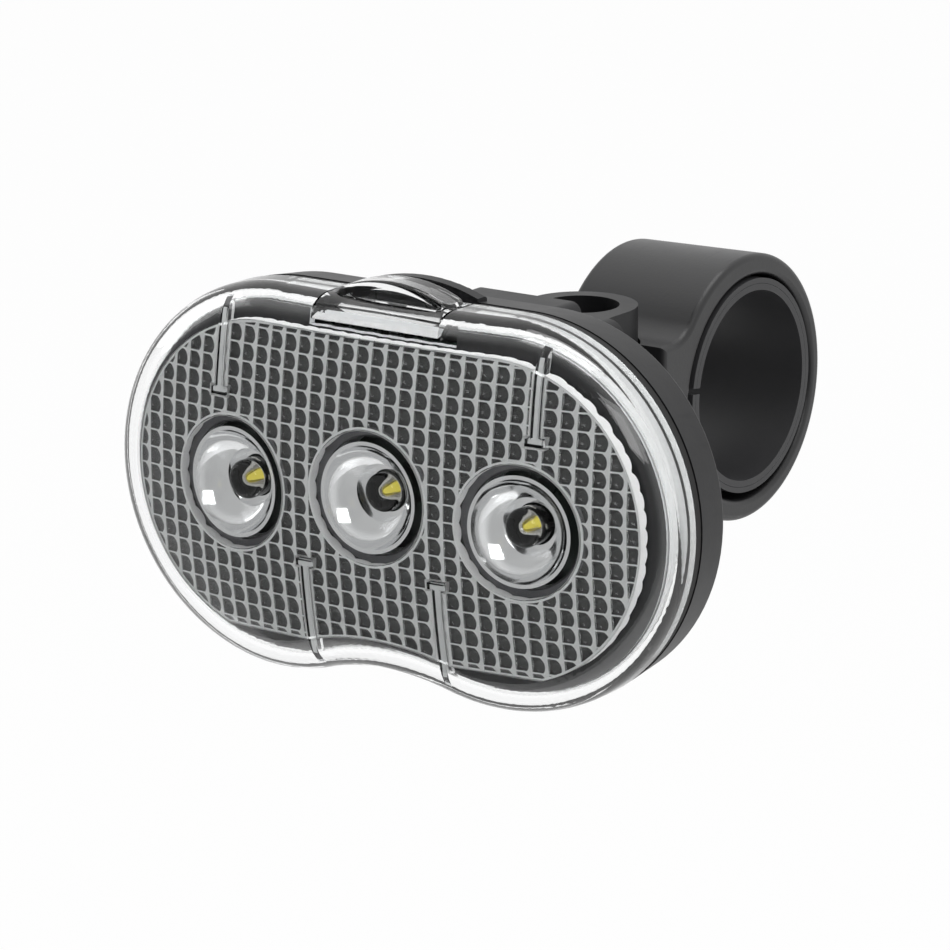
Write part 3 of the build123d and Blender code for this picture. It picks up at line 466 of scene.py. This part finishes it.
clear_cover = clear("clear_cover", (0.99, 0.995, 0.995), 0.012, 1.49)
clear_lens = clear("clear_lens", (0.985, 0.99, 0.985), 0.01, 1.49, wave=0.000002)
led_epoxy = clear("led_epoxy", (0.99, 0.995, 0.99), 0.01, 1.5, wave=0.000002)
black_shell = opaque("black_shell", (0.011, 0.011, 0.012), 0.46, depth=0.000012, specular=0.3)
black_ring = opaque("black_ring", (0.016, 0.016, 0.017), 0.4, depth=0.000014, wear=0.35)
bezel_grey = opaque("bezel_grey", (0.09, 0.09, 0.095), 0.4, grain=3000.0, wear=0.2)
black_switch = opaque("black_switch", (0.03, 0.03, 0.03), 0.4)
seal_rubber = opaque("seal_rubber", (0.012, 0.012, 0.012), 0.7, wear=0.1)
liner_rubber = opaque("liner_rubber", (0.03, 0.03, 0.032), 0.5, depth=0.000008, wear=0.6,
                      wear_width=0.0003)
board_lacquer = opaque("board_lacquer", (0.02, 0.035, 0.026), 0.3, grain=900.0)
zinc_steel = opaque("zinc_steel", (0.6, 0.6, 0.61), 0.3, metallic=1.0, spread=0.2,
                    wear_color=(0.8, 0.8, 0.8))
spring_plate = opaque("spring_plate", (0.68, 0.67, 0.63), 0.25, metallic=1.0, spread=0.2,
                      wear_color=(0.85, 0.84, 0.8))
cell_foil = opaque("cell_foil", (0.42, 0.43, 0.45), 0.32, metallic=0.6, spread=0.15,
                   wear_color=(0.7, 0.7, 0.72))
plated_cup = opaque("plated_cup", (0.93, 0.935, 0.94), 0.09, spread=0.05, rough_spread=0.05,
                    metallic=1.0, wear=0.1, wear_color=(1, 1, 1), depth=0.000003, grain=700.0)
# painted light: near-white for the bright edges of the clear sheet
edge_painted_light = pale("edge_painted_light", (0.9, 0.91, 0.91), 0.1)
# painted light: grey for the light caught in the clear snap ribs
rib_painted_light = pale("rib_painted_light", (0.42, 0.43, 0.43), 0.3)
# painted light: pale grey for the light caught in the cover's clear rim
rim_painted_light = pale("rim_painted_light", (0.62, 0.63, 0.63), 0.3)
lead_metal = opaque("lead_metal", (0.75, 0.74, 0.7), 0.25, metallic=1.0, wear=0.1)
phosphor = opaque("phosphor", (0.85, 0.72, 0.08), 0.5, spread=0.2, wear=0.1, grain=6000.0)


def tray_finish_with_painted_rim_light():
    """The black tray, with painted light on its outer flank: a pale colour that stands for the light
    caught in the clear rim of the cover, so that the rim looks white.

    The flank is told by the world's normal, so it grows darker as the lamp swivels."""
    rim_light_start, rim_light_gain, rim_light_color = 0.6, 4.0, (0.72, 0.73, 0.74)
    material = opaque("black_tray_painted_rim_light", (0.012, 0.012, 0.013), 0.35, depth=0.000006, wear=0.0)
    tree = material.node_tree
    base = tree.nodes["Principled BSDF"].inputs["Base Color"]
    dark = base.links[0].from_socket
    facing = math_node(tree, "ABSOLUTE", split_vector(tree, plain_normal(tree))["Y"])
    rim_light_mask = ramp(tree, rim_light_start, facing, rim_light_gain)
    # painted light: the pale colour on the flank stands in for light caught in the cover's clear rim
    tree.links.new(mix_colors(tree, rim_light_mask, dark, rim_light_color), base)
    return material


FINISHES = {
    "clear_plastic": clear_cover, "optic_plastic": clear_lens, "black_plastic": black_shell,
    "switch_plastic": black_switch, "board": board_lacquer, "steel": zinc_steel,
    "spring_metal": spring_plate, "seal_rubber": seal_rubber, "liner_rubber": liner_rubber,
    "plated_cup": plated_cup, "led_epoxy": led_epoxy, "cell_wrap": cell_foil,
}
OWN_FINISHES = {"clamp_ring": black_ring, "lens_frame": tray_finish_with_painted_rim_light()}
slot_of = {part["node"]: part["material_slot"] for part in frame["record"]["subparts"]}
for node_name, cad_piece in frame["nodes"].items():
    for material_slot in cad_piece.material_slots:
        material_slot.material = OWN_FINISHES.get(node_name) or FINISHES[slot_of[node_name]]


# The pillow-lens sheet: a Geometry Nodes block with a spherical pillow in each cell, cut to shape

def make_pillow_tree():
    cell_shift, merge_distance = 1e-4, 1e-7
    tree = bpy.data.node_groups.new("pillow_lens_block", "GeometryNodeTree")
    lengths = [("Pitch", LENS_PITCH * MM), ("Pillow Radius", PILLOW_RADIUS * MM),
               ("Base", OPTIC_BASE * MM), ("Crown Across", CROWN_ACROSS * MM),
               ("Crown Up", CROWN_UP * MM), ("Crown Height", CROWN_HEIGHT * MM), ("Front", 0.0)]
    counts = [("Columns", COLUMNS), ("Rows", ROWS), ("Steps", CELL_STEPS)]
    for label, value in lengths + counts:
        kind = "NodeSocketFloat" if isinstance(value, float) else "NodeSocketInt"
        socket = tree.interface.new_socket(name=label, in_out="INPUT", socket_type=kind)
        socket.default_value = value
    for label, direction, kind in (("Finish", "INPUT", "NodeSocketMaterial"),
                                   ("Geometry", "OUTPUT", "NodeSocketGeometry")):
        tree.interface.new_socket(name=label, in_out=direction, socket_type=kind)
    given = tree.nodes.new("NodeGroupInput").outputs
    out = tree.nodes.new("NodeGroupOutput").inputs
    link = tree.links.new

    def calc(operation, a, b=None):
        return math_node(tree, operation, a, b)

    def square(value):
        return calc("MULTIPLY", value, value)

    grid = tree.nodes.new("GeometryNodeMeshGrid")
    for size, vertices, cells in (("Size X", "Vertices X", given["Columns"]),
                                  ("Size Y", "Vertices Y", given["Rows"])):
        link(calc("MULTIPLY", cells, given["Pitch"]), grid.inputs[size])
        link(calc("ADD", calc("MULTIPLY", cells, given["Steps"]), 1), grid.inputs[vertices])
    flat = split_vector(tree, tree.nodes.new("GeometryNodeInputPosition").outputs[0])
    x, z = flat["X"], flat["Y"]

    # The crown: how far the front lies back at each point
    above = square(calc("SUBTRACT", z, given["Crown Height"]))
    up = calc("SUBTRACT", given["Crown Up"],
              calc("SQRT", calc("SUBTRACT", square(given["Crown Up"]), above)))
    across = calc("SUBTRACT", given["Crown Across"], up)
    setback = calc("SUBTRACT", given["Crown Across"],
                   calc("SQRT", calc("SUBTRACT", square(across), square(x))))
    front = calc("ADD", given["Front"], setback)

    def in_cell(value):
        """The distance from the middle of the cell."""
        share = calc("FRACT", calc("ADD", calc("DIVIDE", value, given["Pitch"]), cell_shift))
        middle = calc("SUBTRACT", calc("SUBTRACT", share, cell_shift), 0.5)
        return calc("MULTIPLY", middle, given["Pitch"])

    # The back: the base, with a ball's cap on each cell
    ball = square(given["Pillow Radius"])
    dome = calc("SQRT", calc("SUBTRACT", calc("SUBTRACT", ball, square(in_cell(x))),
                             square(in_cell(z))))
    foot = calc("SQRT", calc("SUBTRACT", ball, calc("DIVIDE", square(given["Pitch"]), 2.0)))
    back = calc("ADD", calc("ADD", front, given["Base"]), calc("SUBTRACT", dome, foot))

    def placed(depth, source):
        """The flat mesh stood upright, with its points at the given depth."""
        where = tree.nodes.new("ShaderNodeCombineXYZ")
        for label, value in (("X", x), ("Y", depth), ("Z", z)):
            link(value, where.inputs[label])
        move = tree.nodes.new("GeometryNodeSetPosition")
        link(source, move.inputs["Geometry"])
        link(where.outputs[0], move.inputs["Position"])
        return move.outputs[0]

    # The extruded top takes the back's depth, and the rim under it the front's
    extrude = tree.nodes.new("GeometryNodeExtrudeMesh")
    link(grid.outputs["Mesh"], extrude.inputs["Mesh"])
    extrude.inputs["Offset Scale"].default_value = 0.0
    extrude.inputs["Individual"].default_value = False
    far = tree.nodes.new("GeometryNodeCaptureAttribute")
    far.domain = "POINT"
    far.capture_items.new("BOOLEAN", "Top")
    link(extrude.outputs["Mesh"], far.inputs["Geometry"])
    link(extrude.outputs["Top"], far.inputs["Top"])
    depth = tree.nodes.new("GeometryNodeSwitch")
    depth.input_type = "FLOAT"
    link(far.outputs["Top"], depth.inputs["Switch"])
    link(front, depth.inputs["False"])
    link(back, depth.inputs["True"])
    shell = placed(depth.outputs[0], far.outputs["Geometry"])

    # The grid once more, turned over, closes the front
    flip = tree.nodes.new("GeometryNodeFlipFaces")
    link(placed(front, grid.outputs["Mesh"]), flip.inputs["Mesh"])
    join = tree.nodes.new("GeometryNodeJoinGeometry")
    link(flip.outputs[0], join.inputs[0])
    link(shell, join.inputs[0])
    merge = tree.nodes.new("GeometryNodeMergeByDistance")
    merge.inputs["Distance"].default_value = merge_distance
    link(join.outputs[0], merge.inputs["Geometry"])
    finish = tree.nodes.new("GeometryNodeSetMaterial")
    link(merge.outputs[0], finish.inputs["Geometry"])
    link(given["Finish"], finish.inputs["Material"])
    link(finish.outputs[0], out["Geometry"])
    return tree


def window_cutters(radius):
    return [cutter("window", circle_points(radius, x, z)) for _, x, z in LIGHTS]


def rib_slots():
    """Cutters for the four slots in which the cover's snap ribs stand."""
    slots = []
    for x, (z0, z1), _ in RIBS:
        slots.append(cutter("rib_slot", rectangle(x - SLOT_HALF, x + SLOT_HALF, z0, z1)))
        foot = z0 if z0 > 0 else z1 - SLOT_FOOT
        sole = rectangle(x - SLOT_FOOT_HALF, x + SLOT_FOOT_HALF, foot, foot + SLOT_FOOT)
        slots.append(cutter("rib_foot_slot", sole))
    return slots


def trim_sheet(piece, inset, holes):
    """Cuts a crowned block to the outline, takes out the holes and smooths what is left."""
    cut(piece, [cutter("trim", outline_points(inset, OUTLINE_STEPS))], "INTERSECT")
    cut(piece, holes, "DIFFERENCE")
    smooth(piece.data, SHEET_SHARP_ANGLE)


def make_pillow_sheet():
    piece = new_object("pillow_sheet", bpy.data.meshes.new("pillow_sheet"))
    step = piece.modifiers.new("block", "NODES")
    step.node_group = make_pillow_tree()
    sockets = {item.name: item.identifier for item in step.node_group.interface.items_tree
               if item.in_out == "INPUT"}
    step[sockets["Front"]] = SHEET_FRONT * MM
    step[sockets["Finish"]] = clear_lens
    bake_modifiers(piece)
    piece.data.transform(Matrix.Translation(lamp_point(0, 0, 0)))
    bm = bmesh.new()
    bm.from_mesh(piece.data)
    bmesh.ops.recalc_face_normals(bm, faces=bm.faces)
    bm.to_mesh(piece.data)
    bm.free()
    trim_sheet(piece, OPTIC_INSET, window_cutters(WINDOW_RADIUS) + rib_slots())
    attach(piece, "front_unit")
    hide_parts("optic_insert")


# Painted light on the flanks where the pillows meet, for the light the sheet catches there: each cell
# stays clear in the shape of a D

def make_flank_light_group():
    """Opacity of the painted light on the pillows' flanks, a pale layer that stands for light caught
    where the pillows meet.

    It is 0 in each cell's clear D, which is a square cut by a circle on its right."""
    patch_scale = 1500.0
    group, given, made = shader_group(
        "pillow_flank_painted_light",
        [("Pitch", LENS_PITCH * MM), ("Level Line", 0.07 * MM), ("Upright Line", 0.05 * MM),
         ("Round Radius", 1.36 * MM), ("Round Across", -0.55 * MM), ("Round Up", -0.14 * MM),
         ("Softness", 0.07 * MM), ("Opacity", 0.95), ("Patchiness", 0.15)],
        ("Alpha",),
    )

    def calc(operation, a, b=None, clamp=False):
        return math_node(group, operation, a, b, clamp)

    def in_cell(value, shift):
        """The distance from the middle of the cell."""
        cells = calc("DIVIDE", calc("SUBTRACT", value, shift * MM), given["Pitch"])
        return calc("MULTIPLY", calc("SUBTRACT", calc("FRACT", cells), 0.5), given["Pitch"])

    def inside(room):
        """1 well inside a line and 0 beyond it, with a soft edge."""
        return calc("DIVIDE", room, given["Softness"], True)

    place = object_place(group)
    here = split_vector(group, place)
    across = in_cell(here["X"], LAMP_PLACE[0])
    up = in_cell(here["Z"], LAMP_PLACE[2])
    half = calc("DIVIDE", given["Pitch"], 2.0)
    left = inside(calc("SUBTRACT", calc("ADD", across, half), given["Upright Line"]))
    from_level = calc("SUBTRACT", half, calc("ABSOLUTE", up))
    level = inside(calc("SUBTRACT", from_level, given["Level Line"]))
    from_x = calc("SUBTRACT", across, given["Round Across"])
    from_z = calc("SUBTRACT", up, given["Round Up"])
    apart = calc("SQRT", calc("ADD", calc("MULTIPLY", from_x, from_x),
                              calc("MULTIPLY", from_z, from_z)))
    disc = inside(calc("SUBTRACT", given["Round Radius"], apart))
    clear_part = calc("MULTIPLY", calc("MULTIPLY", left, level), disc)
    drift = calc("MULTIPLY", given["Patchiness"], noise(group, place, patch_scale))
    patches = calc("SUBTRACT", 1.0, drift)
    solid = calc("MULTIPLY", calc("SUBTRACT", 1.0, clear_part), given["Opacity"])
    group.links.new(calc("MULTIPLY", solid, patches, True), made["Alpha"])
    return group


def flank_light_finish():
    # painted light: a pale layer, clear in each cell's D, for the light the pillow sheet catches
    # along its flanks
    material = pale("flank_painted_light", (0.93, 0.94, 0.94), 0.1)
    tree = material.node_tree
    flank_light = place_group(tree, make_flank_light_group())
    tree.links.new(flank_light["Alpha"], tree.nodes["Principled BSDF"].inputs["Alpha"])
    return material


def crowned_plate(name, front, thickness, material):
    """A closed plate that follows the crown, before it is cut to its outline."""
    bm = bmesh.new()
    heights = [(j - ROWS / 2) * LENS_PITCH for j in range(ROWS + 1)]
    sides = []
    for back in (0.0, thickness):
        side = []
        for i in range(COLUMNS + 1):
            x = (i - COLUMNS / 2) * LENS_PITCH
            side.append([bm.verts.new(crown_point(x, front + back, z)) for z in heights])
        sides.append(side)
    near, far = sides
    for side in sides:
        for a, b in zip(side, side[1:]):
            for j in range(ROWS):
                bm.faces.new((a[j], b[j], b[j + 1], a[j + 1]))
    for i in range(COLUMNS):
        for j in (0, ROWS):
            bm.faces.new((near[i][j], near[i + 1][j], far[i + 1][j], far[i][j]))
    for j in range(ROWS):
        for i in (0, COLUMNS):
            bm.faces.new((near[i][j], near[i][j + 1], far[i][j + 1], far[i][j]))
    return closed_object(name, bm, material)


def make_flank_light():
    # a crowned plate of painted light just behind the sheet's front
    piece = crowned_plate("pillow_flank_light", SHEET_FRONT + PAINTED_LIGHT_DEPTH, PAINTED_LIGHT_THICKNESS,
                          flank_light_finish())
    trim_sheet(piece, OPTIC_INSET + PAINTED_LIGHT_INSET,
               rib_slots() + window_cutters(WINDOW_RADIUS + PAINTED_LIGHT_WINDOW_GAP))
    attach(piece, "front_unit")


# Lines, rings and bars of painted light that stand in for the bright edges of the clear plastic, with
# the grey rings round the cups

def edge_line(bm, points, width, front, thickness):
    """A flat line along a closed outline, lying back with the crown.

    A positive width lies on the right hand side of the outline's run."""
    count = len(points)
    inner = []
    for i in range(count):
        (x0, z0), (x1, z1) = points[i - 1], points[(i + 1) % count]
        length = math.hypot(x1 - x0, z1 - z0)
        inner.append((points[i][0] + width * (z1 - z0) / length,
                      points[i][1] - width * (x1 - x0) / length))
    loops = []
    for path, back in ((points, 0), (inner, 0), (inner, thickness), (points, thickness)):
        loops.append([bm.verts.new(crown_point(x, front + back, z)) for x, z in path])
    for a, b in zip(loops, loops[1:] + loops[:1]):
        for i in range(count):
            j = (i + 1) % count
            bm.faces.new((a[i], a[j], b[j], b[i]))


def make_edge_painted_light():
    """Painted highlights that stand for the bright edges of the sheet and of its three windows."""
    front = SHEET_FRONT + PAINTED_LIGHT_DEPTH
    bm = bmesh.new()
    outline = outline_points(OPTIC_INSET + LINE_INSET, EDGE_STEPS)
    edge_line(bm, outline, LINE_WIDTH, front, LINE_THICKNESS)
    for _, x, z in LIGHTS:
        circle = circle_points(WINDOW_RADIUS + LINE_WINDOW_GAP, x, z)
        edge_line(bm, circle, -LINE_WIDTH, front, LINE_THICKNESS)
    piece = closed_object("sheet_edge_painted_light", bm, edge_painted_light)
    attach(piece, "front_unit")


def make_bezels():
    """The dark grey rings round the three cups."""
    bm = bmesh.new()
    for _, x, z in LIGHTS:
        circle = circle_points(BEZEL_RADIUS, x, z)
        edge_line(bm, circle, -BEZEL_WIDTH, BEZEL_FRONT, BEZEL_THICKNESS)
    piece = closed_object("cup_bezels", bm, bezel_grey)
    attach(piece, "front_unit")


def make_rim_band_painted_light():
    """A pale band of painted light between the tray and the cover's wall, for the light caught in the
    cover's clear rim; left out under the button.
    """
    paths = []
    for inset in RIM_INSETS:
        points = outline_points(inset, RIM_STEPS)
        right, left = points[RIM_STEPS + 1:], points[:RIM_STEPS + 1]
        top = LOBE_HEIGHT + LOBE_RADIUS - inset
        paths.append([(BUTTON_HALF, top)] + right + left + [(-BUTTON_HALF, top)])
    bm = bmesh.new()
    rows = []
    for (x0, z0), (x1, z1) in zip(*paths):
        front = crown_setback(x1, z1) + RIM_FRONT
        corners = ((x0, front, z0), (x1, front, z1), (x1, RIM_BACK, z1), (x0, RIM_BACK, z0))
        rows.append([bm.verts.new(lamp_point(*corner)) for corner in corners])
    join_rows(bm, rows)
    piece = closed_object("rim_band_painted_light", bm, rim_painted_light)
    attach(piece, "front_unit")


def make_rib_painted_light():
    """Bars of painted light in the hearts of the four snap ribs and of their feet, just under the
    cover's wall, for light caught in the clear ribs.

    Each bar lies a little deeper than the last, so that no two faces coincide."""
    front = WALL_INSIDE + HEART_DEPTH
    bm = bmesh.new()
    for x, _, (z0, z1) in RIBS:
        foot = (z0, z0 + HEART_FOOT) if z0 > 0 else (z1 - HEART_FOOT, z1)
        for half, low, high in ((HEART_HALF, z0, z1), (HEART_FOOT_HALF, *foot)):
            rows = []
            for i in range(HEART_STEPS + 1):
                z = low + (high - low) * i / HEART_STEPS
                y = front + crown_setback(x, z)
                corners = rectangle(x - half, x + half, y, y + HEART_THICKNESS)
                rows.append([bm.verts.new(lamp_point(cx, cy, z)) for cx, cy in corners])
            join_rows(bm, rows)
            front += HEART_STAGGER
    piece = closed_object("rib_heart_painted_light", bm, rib_painted_light)
    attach(piece, "front_unit")


# The lights' inner parts: lead frame, die cup and phosphor, cast in the clear epoxy

def lathe(bm, profile, centre):
    """A closed turned shape along Y, from (radius, y) pairs in millimetres.

    The profile starts and ends on the axis."""
    turn = 2 * math.pi / TURN_STEPS
    rings = []
    for radius, y in profile:
        radius, y = radius * MM, y * MM
        spots = [(radius * math.cos(turn * i), y, radius * math.sin(turn * i))
                 for i in range(TURN_STEPS if radius else 1)]
        rings.append([bm.verts.new(centre + Vector(spot)) for spot in spots])
    for a, b in zip(rings, rings[1:]):
        for i in range(TURN_STEPS):
            j = (i + 1) % TURN_STEPS
            corners = [a[i % len(a)], a[j % len(a)], b[j % len(b)], b[i % len(b)]]
            face = list(dict.fromkeys(corners))
            if len(face) > 2:
                bm.faces.new(face)


def block(bm, low, high):
    """A block given by its corners, in metres."""
    centre = (Vector(low) + Vector(high)) / 2
    size = Vector(high) - Vector(low)
    for vertex in bmesh.ops.create_cube(bm, size=1.0)["verts"]:
        vertex.co = vertex.co * size + centre


def make_light_core(name):
    low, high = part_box("led_" + name)
    centre = (low + high) / 2
    tip = low.y
    base = tip + LEAD_END * MM
    cup = Vector((centre.x - CUP_SHIFT * MM, tip + CUP_FROM_TIP * MM, centre.z))
    bm = bmesh.new()
    lathe(bm, CUP_PROFILE, cup)
    # The cup's arm, the leg under it and the other leg: from x to x, from y to y, half thickness
    for x0, x1, y0, y1, half in ((-0.75, 0.45, cup.y + 0.8 * MM, cup.y + 1.7 * MM, 0.3),
                                 (-1.35, -0.75, cup.y + 1.6 * MM, base, 0.25),
                                 (1.2, 1.7, cup.y + 0.5 * MM, base, 0.25)):
        block(bm, (cup.x + x0 * MM, y0, cup.z - half * MM),
              (cup.x + x1 * MM, y1, cup.z + half * MM))
    corners = [edge for edge in bm.edges
               if edge.calc_length() > LEAD_SHORTEST_EDGE * MM and len(edge.link_faces) == 2
               and edge.calc_face_angle(0) > LEAD_LEAST_CORNER]
    bmesh.ops.bevel(bm, geom=corners, offset=LEAD_BEVEL * MM, segments=2, affect="EDGES")
    core = closed_object("lead_frame_" + name, bm, lead_metal)
    bm = bmesh.new()
    lathe(bm, DOT_PROFILE, cup)
    glow = closed_object("phosphor_" + name, bm, phosphor)
    for piece, slot in ((core, "steel"), (glow, "led_epoxy")):
        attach(piece, "front_unit")


make_pillow_sheet()
make_flank_light()
make_edge_painted_light()
make_bezels()
make_rim_band_painted_light()
make_rib_painted_light()
for light_name, _, _ in LIGHTS:
    make_light_core(light_name)


# Floor, light and camera, in metres
FLOOR_HALF, FLOOR_FRONT, FLOOR_DROP = 3.0, -0.18, 0.12
FLOOR_GLOW = 0.97
ROOM_DIM_FROM, ROOM_WHITE_FROM = -0.6, -0.1
THROUGH_COVER = 2.5
AIM = (0.0, -0.03, 0.0)
SOFTBOXES = (("top_softbox", (0.0, 0.05, 0.6), 0.4, 0.3, 1.2),
             ("key_softbox", (0.46, -0.41, 0.41), 0.35, 0.35, 1.2),
             ("left_softbox", (-0.6, -0.1, 0.25), 0.3, 0.4, 0.5))
FOCAL_PIXELS, IMAGE_PIXELS, SENSOR = 6368.0, 950.0, 36.0
CAMERA_PLACE = (0.44406, -0.69342, 0.20065)
CAMERA_UP, CAMERA_RIGHT = 14.6, 34.6


def ray_kinds(tree):
    """Masks of ray kinds.

    Rays from the camera, mirrored or refracted rays, refracted rays, and rays off a matt surface."""
    path = tree.nodes.new("ShaderNodeLightPath").outputs
    clear_ray = path["Is Transmission Ray"]
    mirrored = math_node(tree, "MAXIMUM", path["Is Glossy Ray"], clear_ray)
    matt = math_node(tree, "GREATER_THAN", path["Diffuse Depth"], 0.5)
    return path["Is Camera Ray"], mirrored, clear_ray, matt


def make_floor():
    """A pale floor well under the lamp, which hangs on its handlebar.

    It begins just before the lamp."""
    bm = bmesh.new()
    bmesh.ops.create_grid(bm, x_segments=1, y_segments=1, size=FLOOR_HALF)
    material, tree, shader = new_material("pale_floor")
    floor = mesh_object("floor", bm, material)
    place = (0, FLOOR_HALF + FLOOR_FRONT, cad_low.z - FLOOR_DROP)
    floor.data.transform(Matrix.Translation(place))
    shader.inputs["Base Color"].default_value = (0.92, 0.92, 0.92, 1)
    shader.inputs["Roughness"].default_value = 0.9
    direct, mirrored, _, _ = ray_kinds(tree)
    glow = tree.nodes.new("ShaderNodeEmission")
    glow.inputs["Strength"].default_value = 1.0
    mix = tree.nodes.new("ShaderNodeMixShader")
    seen = math_node(tree, "MAXIMUM", direct, mirrored)
    tree.links.new(math_node(tree, "MULTIPLY", seen, FLOOR_GLOW), mix.inputs[0])
    tree.links.new(shader.outputs[0], mix.inputs[1])
    tree.links.new(glow.outputs[0], mix.inputs[2])
    tree.links.new(mix.outputs[0], tree.nodes["Material Output"].inputs["Surface"])


def make_world(ambient, inside, room, under_cover):
    """White backdrop behind, over and beside the lamp; the room before it is dim.

    Matt surfaces get the plain level ambient, or inside where their light has come through the
    clear cover. What lies under the cover mirrors a front at the level under_cover, and the cover
    itself the dim room."""
    world = bpy.data.worlds.new("studio")
    bpy.context.scene.world = world
    world.use_nodes = True
    tree = world.node_tree
    shade = tree.nodes["Background"]
    sight = split_vector(tree, tree.nodes.new("ShaderNodeTexCoord").outputs["Generated"])
    behind = tree.nodes.new("ShaderNodeMapRange")
    behind.interpolation_type = "SMOOTHSTEP"
    tree.links.new(sight["Y"], behind.inputs["Value"])
    behind.inputs["From Min"].default_value = ROOM_DIM_FROM
    behind.inputs["From Max"].default_value = ROOM_WHITE_FROM
    passed = tree.nodes.new("ShaderNodeLightPath").outputs["Transmission Depth"]
    deep = math_node(tree, "GREATER_THAN", passed, THROUGH_COVER)
    front = math_node(tree, "ADD", room, math_node(tree, "MULTIPLY", deep, under_cover - room))
    tree.links.new(front, behind.inputs["To Min"])
    behind.inputs["To Max"].default_value = 1.0
    direct, _, clear_ray, matt = ray_kinds(tree)
    more = math_node(tree, "MULTIPLY", clear_ray, inside - ambient)
    fill = math_node(tree, "MULTIPLY", matt, math_node(tree, "ADD", ambient, more))
    not_matt = math_node(tree, "SUBTRACT", 1.0, matt)
    studio = math_node(tree, "MULTIPLY", not_matt, behind.outputs[0])
    strength = math_node(tree, "MAXIMUM", direct, math_node(tree, "ADD", fill, studio))
    shade.inputs["Color"].default_value = (1, 1, 1, 1)
    tree.links.new(strength, shade.inputs["Strength"])


def softbox(name, place, width, height, power):
    data = bpy.data.lights.new(name, "AREA")
    data.shape = "RECTANGLE"
    data.size, data.size_y, data.energy = width, height, power
    light = new_object(name, data)
    light.location = place
    light.rotation_euler = (Vector(AIM) - Vector(place)).to_track_quat("-Z", "Y").to_euler()


def make_camera():
    data = bpy.data.cameras.new("camera")
    data.sensor_width = SENSOR
    data.lens = FOCAL_PIXELS / IMAGE_PIXELS * SENSOR
    data.clip_start, data.clip_end = 0.01, 100.0
    camera = new_object("camera", data)
    camera.location = CAMERA_PLACE
    camera.rotation_euler = (math.radians(90.0 - CAMERA_UP), 0.0, math.radians(CAMERA_RIGHT))
    bpy.context.scene.camera = camera


make_floor()
make_world(ambient=0.4, inside=2.0, room=0.03, under_cover=0.5)
for softbox_values in SOFTBOXES:
    softbox(*softbox_values)
make_camera()
bpy.context.scene.view_settings.view_transform = "Standard"
